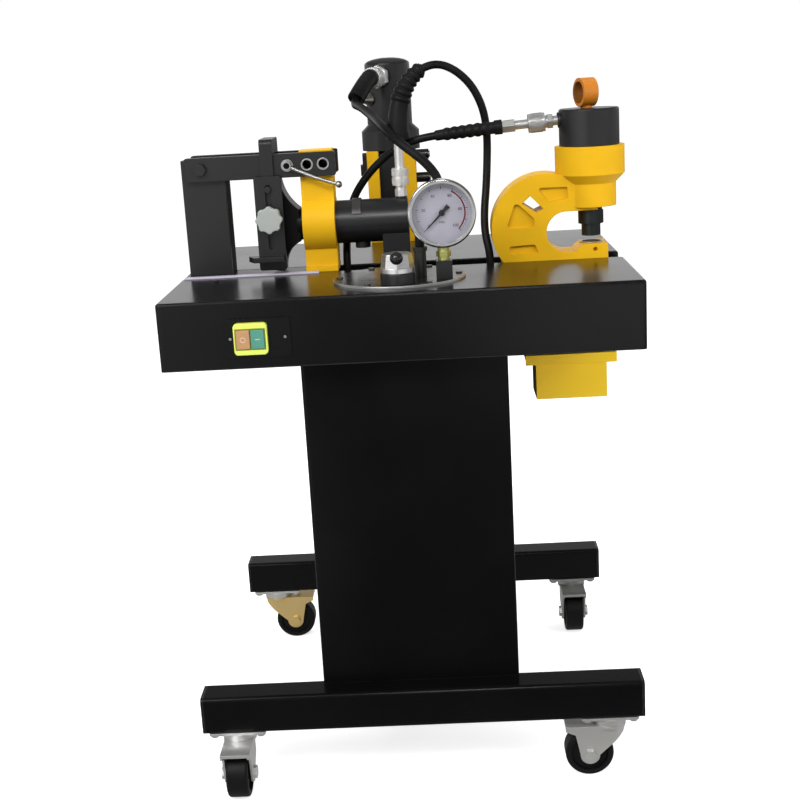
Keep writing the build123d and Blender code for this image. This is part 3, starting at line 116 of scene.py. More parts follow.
class BusbarColours(bpy.types.PropertyGroup):
    """Colours of the machine's finishes."""

    table: colour_property("Table paint", "Gloss black of table, column and rails", (0.0022, 0.0022, 0.0025))
    units: colour_property("Unit paint", "Satin black of the hydraulic units", (0.009, 0.009, 0.01))
    casting: colour_property("Casting paint", "Yellow of the castings", (0.84, 0.47, 0.012))
    sheet: colour_property("Scrap box paint", "Yellow of the scrap box", (1.0, 0.63, 0.014))
    ring: colour_property("Lifting ring", "Orange of the lifting ring", (0.54, 0.18, 0.012))
    zinc: colour_property("Zinc", "Plated steel of the casters", (0.7, 0.7, 0.69))
    steel: colour_property("Steel", "Turned steel of couplers and pins", (0.5, 0.5, 0.49))
    rubber: colour_property("Hose rubber", "Black rubber of hoses and sleeves", (0.0045, 0.0045, 0.005))
    knob: colour_property("Star knob", "Light grey plastic of the star knob", (0.38, 0.4, 0.38))
    bezel: colour_property("Switch bezel", "Lime plastic round the push buttons", (0.68, 0.78, 0.12))
    stop: colour_property("Stop button", "Orange plastic of the stop button", (0.46, 0.25, 0.115))
    start: colour_property("Start button", "Green plastic of the start button", (0.075, 0.27, 0.2))
    dial: colour_property("Dial", "White enamel of the gauge", (0.5, 0.49, 0.57))
    warning: colour_property("Dial arc", "Red arc of the gauge", (0.62, 0.05, 0.03))
    floor: colour_property("Floor", "Pale studio floor", (0.86, 0.86, 0.86))


class BusbarSizes(bpy.types.PropertyGroup):
    """Sizes of the pieces that are added to the solids."""

    hose: length_property("Hose diameter", "Diameter of the bender's and the punch's hose", 0.0125)
    cutter_hose: length_property("Cutter hose diameter", "Diameter of the cutter's hose", 0.014)
    rib: length_property("Rib height", "Height of the ribs on the sleeves", 0.0022)
    knurl: length_property("Knurl depth", "Depth of the knurls on the couplers", 0.0007)
    knurl_count: count_property("Knurl ridges", "Ridges round a coupler", 44, 6)
    dial_parts: count_property("Dial divisions", "Small divisions of the dial", 50, 5)


class Signal:
    """Output of a node that takes part in Python expressions."""

    def __init__(self, graph, link):
        self.graph = graph
        self.link = link

    def __add__(self, other):
        return self.graph.maths("ADD", self, other)

    def __radd__(self, other):
        return self.graph.maths("ADD", other, self)

    def __sub__(self, other):
        return self.graph.maths("SUBTRACT", self, other)

    def __rsub__(self, other):
        return self.graph.maths("SUBTRACT", other, self)

    def __mul__(self, other):
        return self.graph.maths("MULTIPLY", self, other)

    def __rmul__(self, other):
        return self.graph.maths("MULTIPLY", other, self)

    def __truediv__(self, other):
        return self.graph.maths("DIVIDE", self, other)

    def __pow__(self, other):
        return self.graph.maths("POWER", self, other)

    def __gt__(self, other):
        return self.graph.maths("GREATER_THAN", self, other)

    def __lt__(self, other):
        return self.graph.maths("LESS_THAN", self, other)


class Graph:
    """A node tree that is written as Python expressions."""

    def __init__(self, tree):
        self.tree = tree
        tree.nodes.clear()

    def add(self, kind, inputs=None, output=0, **settings):
        """Add one node: its settings first, then the values or links of its sockets."""
        node = self.tree.nodes.new(kind)
        for key, value in settings.items():
            setattr(node, key, value)
        for key, value in (inputs or {}).items():
            socket = node.inputs[key]
            if isinstance(value, Signal):
                self.tree.links.new(value.link, socket)
            elif socket.type == "RGBA" and len(value) == 3:
                socket.default_value = (*value, 1)
            else:
                socket.default_value = value
        return Signal(self, node.outputs[output]) if len(node.outputs) else node

    def maths(self, operation, left, right=0.0):
        """Value of one Math node."""
        return self.add("ShaderNodeMath", {0: left, 1: right}, operation=operation)

    def ramp(self, value, stops):
        """Greys picked along a value, from pairs of a place and a shade."""
        picked = self.add("ShaderNodeValToRGB", {"Fac": value})
        elements = picked.link.node.color_ramp.elements
        while len(elements) < len(stops):
            elements.new(1.0)
        for element, (place, shade) in zip(elements, stops):
            element.position = place
            element.color = (shade, shade, shade, 1)
        return picked

    def looks(self):
        """Whether the camera looks at the studio, and whether a reflection or the glass does."""
        seen = self.add("ShaderNodeLightPath", output="Is Camera Ray")
        glossy = self.add("ShaderNodeLightPath", output="Is Glossy Ray")
        through = self.add("ShaderNodeLightPath", output="Is Transmission Ray")
        return seen, self.maths("MAXIMUM", glossy, through)


class Finish(Graph):
    """A procedural material on object coordinates."""

    def __init__(self, name):
        self.material = bpy.data.materials.new(name)
        self.material.use_nodes = True
        super().__init__(self.material.node_tree)
        self.place = self.add("ShaderNodeTexCoord", output="Object")

    def mapped(self, scale, centre=(0, 0, 0), turn=(0, 0, 0)):
        """Coordinates about a centre, stretched along the axes."""
        moved = self.add("ShaderNodeVectorMath", {0: self.place, 1: centre}, operation="SUBTRACT")
        return self.add("ShaderNodeMapping", {"Vector": moved, "Rotation": turn, "Scale": scale})

    def noise(self, scale, detail=3.0, rough=0.5, place=None):
        """Cloudy noise, about 0 to 1."""
        where = self.place if place is None else place
        values = {"Vector": where, "Scale": scale, "Detail": detail, "Roughness": rough}
        return self.add("ShaderNodeTexNoise", values)

    def streaks(self, grain):
        """Noise that is drawn out along a grain."""
        return self.noise(1.0, detail=4.0, rough=0.6, place=self.mapped(grain))

    def mix(self, share, first, second):
        """Blend of two colours."""
        return self.add("ShaderNodeMix", {0: share, 6: first, 7: second}, output=2, data_type="RGBA")

    def axis(self, name):
        """One coordinate of the surface."""
        return self.add("ShaderNodeSeparateXYZ", {"Vector": self.place}, output=name)

    def within(self, low, high):
        """1 inside a box between two corners, counted from the deck's centre in millimetres, 0 outside."""
        slabs = []
        for name, start, end in zip("XYZ", spot(*low), spot(*high)):
            here = self.axis(name)
            slabs.append((here > start) * (here < end))
        return slabs[0] * slabs[1] * slabs[2]

    def shaded(self, base, places):
        """A colour with another shade inside some boxes."""
        for low, high, shade in places:
            base = self.mix(self.within(low, high), base, shade)
        return base

    def distance(self, centre, axes, turn=(0, 0, 0)):
        """How far the surface lies from a centre, counted along some axes only."""
        away = self.mapped(axes, centre, turn)
        return self.add("ShaderNodeVectorMath", {0: away}, output=1, operation="LENGTH")

    def bevel(self, radius):
        """Normal with softened edges."""
        return self.add("ShaderNodeBevel", {"Radius": radius}, samples=4)

    def edges(self, soft):
        """How near to an edge the surface is, from a softened normal."""
        flat = self.add("ShaderNodeNewGeometry", output="True Normal")
        along = self.add("ShaderNodeVectorMath", {0: soft, 1: flat}, output=1, operation="DOT_PRODUCT")
        return self.ramp(1.0 - along, [(0.03, 0.0), (0.25, 1.0)])

    def bump(self, height, strength, distance, normal=None):
        """Surface normal from a height, over a softened normal where one is given."""
        values = {"Height": height, "Strength": strength, "Distance": distance}
        if normal is not None:
            values["Normal"] = normal
        return self.add("ShaderNodeBump", values)

    def done(self, **sockets):
        """Close the tree with a principled surface and hand out the material."""
        named = {key.replace("_", " "): value for key, value in sockets.items()}
        surface = self.add("ShaderNodeBsdfPrincipled", named)
        self.add("ShaderNodeOutputMaterial", {"Surface": surface})
        return self.material


# Places that a finish marks, counted from the deck's centre in millimetres, and radii in metres
PIN_HOLES = ((-170, 0, 169.5), (-139, 0, 169.5), (-114, 0, 169.5))
PIN_HOLE_RADIUS = 0.0076
PIN_HOLLOW_RADIUS = 0.0048
PIN_END = spot(0, -81.2, 0).y
RING_CENTRE = (299, -35, 255)
RING_TURN = radians(18)
RING_BORE = 0.0168
FLANGE_CENTRE = (-2, -172, 0)
FLANGE_RIM = 0.099

# Axes along which a distance from the X, the Y or the Z axis is counted
ACROSS_X = (0, 1, 1)
ACROSS_Y = (1, 0, 1)
ACROSS_Z = (1, 1, 0)

# Shades that a user would hardly change, and the grain of drawn and of turned steel
# Near black painted into holes and bores as their shade
HOLE_SHADE_BLACK = (0.012, 0.011, 0.01)
# Lighter black of the edges: partly rubbed wear, partly painted edge highlight
WORN_AND_HIGHLIT_EDGE_BLACK = (0.085, 0.085, 0.088)
DARK_STEEL = (0.06, 0.06, 0.06)
WORN_STEEL = (0.6, 0.6, 0.59)
PAINTED_SHADOW_BLACK = (0.001, 0.001, 0.001)
DUST = 0.35
DRAWN_GRAIN = (60, 60, 900)
TURNED_GRAIN = (700, 700, 700)

# Boxes with another shade: two corners in millimetres, and the shade where it isn't the black of painted
# shadow
# Painted shadow: the foot under the bender's cylinder is made black and duller, where shade falls
UNDER_CYLINDER_SHADOW = (((-130, -64, -20), (30, -7, 60)),)
# Painted shade: the bezel is made dark olive in the gap round the push buttons
BUTTON_GAP_SHADE = (((-237, -330, -70.6), (-193, -290, -39.4), (0.2, 0.22, 0.02)),)
# Couplers: darker steel by the pump flange, then the bender's coupler painted lighter as lit and the punch's
# coupler painted darker as shaded
COUPLER_DARK_FITTING_AND_PAINTED_LIGHT = (
    ((10, -210, -2), (50, -160, 60), DARK_STEEL),
    ((-30, -70, 90), (30, 0, 205), (0.85, 0.85, 0.84)),
    ((120, -70, 180), (330, 0, 240), (0.45, 0.45, 0.44)),
)
# Painted shade: the rear right caster's zinc is made darker, as it stands in shade
CASTER_PAINTED_SHADE = (((180, 180, -790), (400, 400, -640), (0.42, 0.42, 0.4)),)
FASTENER_SHADES = (
    ((-90, -100, 60), (-52, 40, 180), (0.17, 0.165, 0.16)),
    ((20, 250, 90), (50, 300, 175), DARK_STEEL),
    ((-130, -300, 0), (130, -40, 12), (0.2, 0.2, 0.2)),
)


def times(colour, factor):
    """A colour made darker or lighter."""
    return tuple(part * factor for part in colour)


def paint(name, colour, rough, peel, edge, specular, rubbed=None, painted_shadow=()):
    """Sprayed paint: fine orange peel, cloudy gloss, a little dust, edges made lighter as rubbed wear and
    painted highlight, and places painted black as shadow.
    """
    finish = Finish(name)
    cloud = finish.noise(7.0, detail=4.0)
    specks = finish.ramp(finish.noise(420.0, detail=2.0), [(0.62, 0.0), (0.78, 1.0)])
    lighter = tuple(min(1.0, part * 1.25 + 0.006) for part in colour)
    base = finish.mix((cloud - 0.4) * DUST + specks * 0.12 * DUST, colour, lighter)
    soft = finish.bevel(edge)
    # Edges made lighter in patches: partly rubbed wear, partly a painted highlight where light catches the
    # edge
    if rubbed:
        patches = finish.ramp(cloud, [(0.3, 0.4), (0.6, 1.0)])
        base = finish.mix(finish.edges(soft) * patches, base, rubbed)
    roughness = rough + (cloud - 0.5) * 0.1 + specks * 0.05
    # Painted shadow: black, duller paint inside boxes where shade falls
    for low, high in painted_shadow:
        inside = finish.within(low, high)
        base = finish.mix(inside, base, PAINTED_SHADOW_BLACK)
        roughness = roughness + inside * 0.3
    normal = finish.bump(finish.noise(peel, detail=2.0), strength=0.05, distance=0.0004, normal=soft)
    return finish.done(Base_Color=base, Roughness=roughness, Specular_IOR_Level=specular, Normal=normal)


def casting_paint(name, colour):
    """Paint over sand casting: soft lumps, clouds of a darker shade and pin holes painted black as shade."""
    finish = Finish(name)
    lumps = finish.noise(90.0, detail=4.0, rough=0.6)
    patches = finish.ramp(finish.noise(9.0), [(0.3, 0.0), (0.7, 1.0)])
    base = finish.mix(patches, times(colour, 0.82), colour)
    for hole in PIN_HOLES:
        # Painted shade: the pin holes are made near black
        inside = finish.distance(spot(*hole), ACROSS_Y) < PIN_HOLE_RADIUS
        base = finish.mix(inside, base, HOLE_SHADE_BLACK)
    height = lumps + finish.noise(520.0, detail=2.0) * 0.35
    normal = finish.bump(height, strength=0.16, distance=0.0006, normal=finish.bevel(0.0018))
    roughness = 0.4 + (lumps - 0.5) * 0.14
    return finish.done(Base_Color=base, Roughness=roughness, Specular_IOR_Level=0.1, Normal=normal)


def ring_paint(name, colour):
    """Orange paint of the lifting ring, with its bore painted darker as shade."""
    finish = Finish(name)
    cloud = finish.noise(40.0)
    base = finish.mix(cloud, times(colour, 0.8), colour)
    # Painted shade: the ring's bore is made much darker
    bore = finish.distance(spot(*RING_CENTRE), ACROSS_X, (0, 0, -RING_TURN)) < RING_BORE
    base = finish.mix(bore, base, times(colour, 0.3))
    peel = finish.noise(300.0, detail=2.0)
    normal = finish.bump(peel, strength=0.08, distance=0.0004, normal=finish.bevel(0.0012))
    return finish.done(Base_Color=base, Roughness=0.36 + cloud * 0.1, Specular_IOR_Level=0.3, Normal=normal)


def flange_black(name, colour, rim):
    """Black plate with its rim rubbed bright and turning rings."""
    finish = Finish(name)
    reach = finish.distance(spot(*FLANGE_CENTRE), ACROSS_Z)
    scuffs = finish.noise(140.0, detail=4.0)
    worn = (reach + (scuffs - 0.5) * 0.001) > FLANGE_RIM
    rings = finish.maths("SINE", reach * 4000.0)
    height = rings * 0.4 + scuffs
    normal = finish.bump(height, strength=0.05, distance=0.0002, normal=finish.bevel(0.0008))
    roughness = 0.2 + finish.noise(25.0) * 0.12 + worn * 0.08
    base = finish.mix(worn, colour, rim)
    return finish.done(Base_Color=base, Metallic=worn * 0.9, Roughness=roughness, Normal=normal)


def plated(name, colour, rough, grain, tint, share=0.15, places=(), metal=1.0):
    """Plated or drawn steel: streaks along the grain, faint clouds of a tint and places of another shade,
    some of them painted light or shade.
    """
    finish = Finish(name)
    streaks = finish.streaks(grain)
    clouds = finish.ramp(finish.noise(22.0), [(0.45, 0.0), (0.75, share)])
    base = finish.shaded(finish.mix(clouds, colour, tint), places)
    normal = finish.bump(streaks, strength=0.08, distance=0.0003, normal=finish.bevel(0.0008))
    roughness = rough + (streaks - 0.5) * 0.16
    return finish.done(Base_Color=base, Metallic=metal, Roughness=roughness, Normal=normal)


def pin_steel(name, colour, rough):
    """Turned pin whose end is painted black in the middle as the shade of a hollow."""
    finish = Finish(name)
    streaks = finish.streaks(TURNED_GRAIN)
    # Painted shade: the middle of the pin's end is made near black, as if hollow
    bore = finish.distance(spot(*PIN_HOLES[0]), ACROSS_Y) < PIN_HOLLOW_RADIUS
    base = finish.mix(bore * (finish.axis("Y") < PIN_END), colour, HOLE_SHADE_BLACK)
    normal = finish.bump(streaks, strength=0.08, distance=0.0003, normal=finish.bevel(0.0008))
    return finish.done(Base_Color=base, Metallic=1.0, Roughness=rough + streaks * 0.1, Normal=normal)


def rubber(name, colour, rough):
    """Hose rubber: fine bloom, rubbed patches and a soft sheen."""
    finish = Finish(name)
    bloom = finish.noise(30.0, detail=4.0)
    patches = finish.ramp(bloom, [(0.4, 0.0), (0.8, 1.0)])
    base = finish.mix(patches, colour, times(colour, 2.1))
    normal = finish.bump(finish.noise(1100.0, detail=2.0), strength=0.12, distance=0.0003)
    roughness = rough + (bloom - 0.5) * 0.18
    return finish.done(Base_Color=base, Roughness=roughness, Specular_IOR_Level=0.16, Normal=normal)


def moulded(name, colour, rough, grain=900.0, specular=0.5, places=()):
    """Moulded plastic: fine spark-eroded grain, and places of another shade, used for painted shade."""
    finish = Finish(name)
    cloud = finish.noise(60.0)
    base = finish.shaded(finish.mix(cloud, times(colour, 0.88), colour), places)
    sparks = finish.noise(grain, detail=2.0)
    normal = finish.bump(sparks, strength=0.08, distance=0.0002, normal=finish.bevel(0.0008))
    roughness = rough + (cloud - 0.5) * 0.1
    return finish.done(Base_Color=base, Roughness=roughness, Specular_IOR_Level=specular, Normal=normal)


def clear_glass(name):
    """Gauge glass: almost clear, with the room in its gloss."""
    finish = Finish(name)
    roughness = 0.02 + finish.noise(40.0) * 0.05
    return finish.done(Base_Color=(0.02, 0.02, 0.02), Roughness=roughness, Alpha=0.1, Specular_IOR_Level=0.6)


def make_finishes(colours):
    """All finishes of the machine by name."""
    steel = colours.steel
    table = colours.table
    bright = times(steel, 1.4)
    return {
        # Paint: colour, roughness, scale of the orange peel, softened edge, specular level
        "table": paint("table_black", table, 0.22, 520.0, 0.004, 0.25, rubbed=WORN_AND_HIGHLIT_EDGE_BLACK),
        "plate": paint("plate_black", table, 0.26, 520.0, 0.0008, 0.25),
        "stand": paint("stand_black", times(table, 1.4), 0.2, 520.0, 0.0025, 0.15, rubbed=WORN_AND_HIGHLIT_EDGE_BLACK),
        "unit": paint("unit_black", colours.units, 0.32, 380.0, 0.0015, 0.5, painted_shadow=UNDER_CYLINDER_SHADOW),
        "ram": paint("ram_black", table, 0.36, 380.0, 0.0012, 0.16),
        "sheet_yellow": paint("sheet_yellow", colours.sheet, 0.34, 500.0, 0.0012, 0.3),
        "casting": casting_paint("casting_yellow", colours.casting),
        "ring": ring_paint("ring_orange", colours.ring),
        "flange": flange_black("flange_black", colours.units, WORN_STEEL),
        # Metal: colour, roughness, grain, tint, share of the tint, places of another shade
        "zinc": plated(
            "caster_zinc", colours.zinc, 0.34, DRAWN_GRAIN, (0.6, 0.52, 0.3), places=CASTER_PAINTED_SHADE, metal=0.8
        ),
        "zinc_yellow": plated(
            "caster_zinc_yellow", (0.86, 0.63, 0.27), 0.34, DRAWN_GRAIN, (0.8, 0.58, 0.2), 0.8, metal=0.8
        ),
        "steel": plated("turned_steel", steel, 0.3, TURNED_GRAIN, (0.5, 0.5, 0.48), 0.3),
        "coupler": plated(
            "coupler_steel", bright, 0.4, TURNED_GRAIN, (0.5, 0.52, 0.48), 0.4, COUPLER_DARK_FITTING_AND_PAINTED_LIGHT, metal=0.75
        ),
        "fastener": plated(
            "fastener_steel", steel, 0.34, TURNED_GRAIN, (0.4, 0.4, 0.38), 0.3, FASTENER_SHADES
        ),
        "oxide": plated("black_oxide", (0.05, 0.055, 0.055), 0.4, (500, 500, 60), (0.03, 0.03, 0.03)),
        "chrome": plated("gauge_chrome", (0.56, 0.56, 0.55), 0.16, (40, 40, 40), (0.5, 0.5, 0.5)),
        "aluminium": plated("valve_aluminium", (0.82, 0.82, 0.82), 0.3, (30, 30, 1200), (0.7, 0.7, 0.7)),
        "brass": plated("stem_brass", (0.62, 0.6, 0.2), 0.35, (400, 400, 60), (0.5, 0.55, 0.2), 0.5),
        "pin": pin_steel("pin_steel", steel, 0.3),
        # Plastic and print: colour, roughness, scale of the grain, specular level
        "wheel": moulded("caster_black", (0.005, 0.005, 0.005), 0.5, 500.0, 0.2),
        # Bend scale: white, with a lilac tint painted as its reflection
        "scale": moulded("scale_white", (0.62, 0.57, 0.68), 0.35, 1200.0),
        "cap": moulded("cap_black", (0.004, 0.004, 0.0045), 0.36, 900.0, 0.25),
        "ball": moulded("ball_black", (0.01, 0.01, 0.01), 0.16),
        "knob": moulded("knob_grey", colours.knob, 0.46, 700.0),
        "bezel": moulded("bezel_lime", colours.bezel, 0.34, places=BUTTON_GAP_SHADE),
        "stop": moulded("button_orange", colours.stop, 0.36),
        "start": moulded("button_green", colours.start, 0.36),
        "stop_mark": moulded("stop_mark", (0.66, 0.47, 0.32), 0.5),
        "start_mark": moulded("start_mark", (0.4, 0.56, 0.48), 0.5),
        "dial": moulded("dial_white", colours.dial, 0.42, 1500.0),
        "print": moulded("dial_print", (0.015, 0.015, 0.017), 0.5),
        "red": moulded("dial_red", colours.warning, 0.5),
        "glass": clear_glass("gauge_glass"),
        # Rubber: colour, roughness
        "hose": rubber("hose_black", colours.rubber, 0.4),
        "sleeve": rubber("sleeve_black", times(colours.rubber, 1.1), 0.48),
    }


# Which solids wear each finish
FINISH_OF = {
    "table": "table_body",
    "plate": "switch_plate",
    "stand": "column_shell column_back_cover foot_rails cutter_shelf",
    "unit": "bender_base bender_post tie_straps bender_cylinder rest_hook rest_plate cutter_cylinder "
    "cutter_ram cutter_handle punch_cylinder scrap_runners oil_tank gauge_block valve_base strap_bolt",
    "ram": "bender_ram",
    "casting": "bender_yoke punch_frame cutter_frame",
    "sheet_yellow": "scrap_box",
    "ring": "lifting_ring",
    "zinc": "caster_plates caster_fork_front_left caster_fork_front_right caster_fork_rear_right",
    "zinc_yellow": "caster_fork_rear_left",
    "wheel": "caster_wheel_front_left caster_wheel_front_right caster_wheel_rear_left "
    "caster_wheel_rear_right",
    "steel": "punch_die",
    "coupler": "quick_couplers",
    "fastener": "fasteners",
    "pin": "hitch_pin",
    "scale": "bend_scale",
    "oxide": "punch_ram pump_motor",
    "chrome": "gauge_case",
    "aluminium": "valve_hub",
    "brass": "gauge_stem",
    "flange": "pump_flange",
    "cap": "rail_end_caps",
    "ball": "valve_ball",
    "knob": "rest_knob",
    "bezel": "switch_bezel",
    "stop": "stop_button",
    "start": "start_button",
    "dial": "gauge_dial",
    "print": "gauge_needle",
    "glass": "gauge_glass",
}

finishes = {}


def node_tree(name, **titles):
    """An empty geometry tree with inputs named by kind, and its group input's outputs by name."""
    tree = bpy.data.node_groups.new(name, "GeometryNodeTree")
    graph = Graph(tree)
    for kind, names in {"Geometry": ["Geometry"], **titles, "Material": ["Material"]}.items():
        for title in names:
            tree.interface.new_socket(title, in_out="INPUT", socket_type="NodeSocket" + kind)
    tree.interface.new_socket("Geometry", in_out="OUTPUT", socket_type="NodeSocketGeometry")
    entry = tree.nodes.new("NodeGroupInput")
    given = {socket.name: Signal(graph, socket) for socket in entry.outputs if socket.name}
    return graph, given


def close_tree(graph, shape, given, smooth=False):
    """Realize the instances, set the material and end the tree."""
    real = graph.add("GeometryNodeRealizeInstances", {"Geometry": shape})
    shaded = graph.add("GeometryNodeSetShadeSmooth", {"Geometry": real, "Shade Smooth": smooth})
    painted = graph.add("GeometryNodeSetMaterial", {"Geometry": shaded, "Material": given["Material"]})
    graph.add("NodeGroupOutput", {"Geometry": painted})
    return graph.tree


def vector_of(graph, **parts):
    """Vector whose parts are given by axis, 0 on the other axes."""
    return graph.add("ShaderNodeCombineXYZ", {"X": 0.0, "Y": 0.0, "Z": 0.0, **parts})


def ribbed_sleeve_tree():
    """Rubber sleeve along a path: a collar, a smooth taper and a stretch of ribs."""
    floats = ["Start Radius", "End Radius", "Collar Radius", "Collar Length"]
    floats += ["First Rib", "Last Rib", "Pitch", "Rib", "Lip"]
    graph, given = node_tree("ribbed_sleeve", Float=floats)
    fullness = 0.6
    lip_start = 0.985
    path = graph.add("GeometryNodeMeshToCurve", {"Mesh": given["Geometry"]})
    path = graph.add("GeometryNodeResampleCurve", {"Curve": path, "Count": 260})
    share = graph.add("GeometryNodeSplineParameter", output="Factor")
    reach = graph.add("GeometryNodeSplineParameter", output="Length")
    taper = given["Start Radius"] + (given["End Radius"] - given["Start Radius"]) * share
    collar = given["Collar Radius"] * (reach < given["Collar Length"])
    turn = (reach - given["First Rib"]) / given["Pitch"] * (2 * pi)
    wave = 0.5 - graph.maths("COSINE", turn) * 0.5
    ribbed = (reach > given["First Rib"]) * (reach < given["Last Rib"])
    crest = (wave ** fullness) * given["Rib"] * ribbed
    lip = given["Lip"] * (share > lip_start)
    ring = graph.add("GeometryNodeCurvePrimitiveCircle", {"Resolution": 28, "Radius": 1.0})
    values = {"Curve": path, "Profile Curve": ring, "Scale": taper + collar + crest - lip, "Fill Caps": True}
    tube = graph.add("GeometryNodeCurveToMesh", values)
    return close_tree(graph, tube, given, smooth=True)


def ring_of_bars_tree():
    """Bars set round a circle, as the ridges of a knurl or the ticks of a dial."""
    floats = ["Start", "Step", "Radius"]
    graph, given = node_tree("ring_of_bars", Int=["Count"], Float=floats, Vector=["Size"])
    bar = graph.add("GeometryNodeMeshCube", {"Size": given["Size"]})
    shift = vector_of(graph, X=given["Radius"])
    bar = graph.add("GeometryNodeTransform", {"Geometry": bar, "Translation": shift})
    points = graph.add("GeometryNodeMeshLine", {"Count": given["Count"], "Offset": (0.0, 0.0, 0.0)})
    angle = given["Start"] + graph.add("GeometryNodeInputIndex") * given["Step"]
    turn = graph.add("FunctionNodeAxisAngleToRotation", {"Axis": UP, "Angle": angle})
    bars = graph.add("GeometryNodeInstanceOnPoints", {"Points": points, "Instance": bar, "Rotation": turn})
    return close_tree(graph, bars, given)


def row_of_bars_tree():
    """Bars set along a line, every fifth one longer, as the divisions of a scale."""
    graph, given = node_tree("row_of_bars", Int=["Count"], Float=["Step", "Growth"], Vector=["Size"])
    bar = graph.add("GeometryNodeMeshCube", {"Size": given["Size"]})
    offset = vector_of(graph, X=given["Step"])
    points = graph.add("GeometryNodeMeshLine", {"Count": given["Count"], "Offset": offset})
    index = graph.add("GeometryNodeInputIndex")
    stretch = 1.0 + given["Growth"] * (graph.maths("FLOORED_MODULO", index, 5.0) < 0.5)
    scale = vector_of(graph, X=1.0, Y=stretch, Z=1.0)
    bars = graph.add("GeometryNodeInstanceOnPoints", {"Points": points, "Instance": bar, "Scale": scale})
    return close_tree(graph, bars, given)


def screws_tree():
    """Screw heads with a sunk socket, one on each point of the mesh that is given."""
    graph, given = node_tree("screws", Int=["Sides"], Float=["Radius", "Height", "Recess"])
    shapes = []
    for sides, radius, lift in ((given["Sides"], given["Radius"], 0.5), (6, given["Recess"], 1.1)):
        values = {"Vertices": sides, "Radius": radius, "Depth": given["Height"]}
        drum = graph.add("GeometryNodeMeshCylinder", values)
        shift = vector_of(graph, Z=given["Height"] * lift)
        shapes.append(graph.add("GeometryNodeTransform", {"Geometry": drum, "Translation": shift}))
    both = {0: shapes[0], 1: shapes[1]}
    head = graph.add("GeometryNodeMeshBoolean", both, operation="DIFFERENCE", solver="EXACT")
    heads = graph.add("GeometryNodeInstanceOnPoints", {"Points": given["Geometry"], "Instance": head})
    return close_tree(graph, heads, given)


def held(name, data):
    """New object in the scene that holds a mesh, a curve, a lamp or the like."""
    holder = bpy.data.objects.new(name, data)
    bpy.context.scene.collection.objects.link(holder)
    return holder


def keep(name, data, body):
    """Make a finished mesh or curve a piece that moves with a body."""
    piece = held(name, data)
    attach(piece, body)
    return piece


def plain_mesh(holder):
    """The mesh that an object shows; the object is removed."""
    bpy.context.view_layer.update()
    evaluated = holder.evaluated_get(bpy.context.evaluated_depsgraph_get())
    mesh = bpy.data.meshes.new_from_object(evaluated)
    holder.modifiers.clear()
    bpy.data.objects.remove(holder)
    return mesh


def grow(tree, finish, values, mesh=None, placing=None):
    """Run a tree on a mesh and hand out the result as a plain mesh in its place."""
    holder = held("holder", mesh or bpy.data.meshes.new("holder"))
    modifier = holder.modifiers.new("tree", "NODES")
    modifier.node_group = tree
    sockets = {item.name: item.identifier for item in tree.interface.items_tree if item.in_out == "INPUT"}
    for key, value in {**values, "Material": finishes[finish]}.items():
        modifier[sockets[key]] = value
    result = plain_mesh(holder)
    if placing is not None:
        result.transform(placing)
    return result


def screw_heads(tree, finish, size, points, way):
    """Screw heads on some points of the machine, all of them looking along one direction."""
    placing = facing(points[0], way)
    mesh = bpy.data.meshes.new("points")
    mesh.from_pydata([placing.inverted() @ point for point in points], [], [])
    return grow(tree, finish, size, mesh, placing)


def turned(profile, placing, finish, segments, looped=False):
    """Closed mesh of (radius, height) points turned about local Z, looped or with flat ends."""
    shape = bmesh.new()
    rings = []
    for radius, height in profile:
        ring = []
        for index in range(segments):
            angle = 2 * pi * index / segments
            ring.append(shape.verts.new((radius * cos(angle), radius * sin(angle), height)))
        rings.append(ring)
    if looped:
        rings.append(rings[0])
    else:
        shape.faces.new(list(reversed(rings[0])))
        shape.faces.new(rings[-1])
    for low, high in zip(rings, rings[1:]):
        for index in range(segments):
            after = (index + 1) % segments
            shape.faces.new((low[index], low[after], high[after], high[index]))
    for face in shape.faces:
        face.smooth = True
    bmesh.ops.recalc_face_normals(shape, faces=shape.faces)
    mesh = bpy.data.meshes.new("turned")
    shape.to_mesh(mesh)
    shape.free()
    mesh.transform(placing)
    mesh.set_sharp_from_angle(angle=SHARP_ANGLE)
    mesh.materials.append(finishes[finish])
    return mesh


def lettering(words, height, placing):
    """Flat numbers or words as a mesh."""
    curve = bpy.data.curves.new("numbers", "FONT")
    curve.body = words
    curve.size = height
    curve.align_x = "CENTER"
    curve.align_y = "CENTER"
    curve.extrude = LETTER_DEPTH
    curve.resolution_u = 3
    mesh = plain_mesh(held("numbers", curve))
    mesh.transform(placing)
    mesh.materials.clear()
    mesh.materials.append(finishes["print"])
    return mesh


def joined(name, *meshes):
    """Several meshes in one, with their materials kept."""
    shape = bmesh.new()
    materials = []
    for mesh in meshes:
        start = len(shape.faces)
        shape.from_mesh(mesh)
        shape.faces.ensure_lookup_table()
        for face in shape.faces[start:]:
            material = mesh.materials[face.material_index]
            if material not in materials:
                materials.append(material)
            face.material_index = materials.index(material)
        bpy.data.meshes.remove(mesh)
    whole = bpy.data.meshes.new(name)
    shape.to_mesh(whole)
    shape.free()
    for material in materials:
        whole.materials.append(material)
    return whole


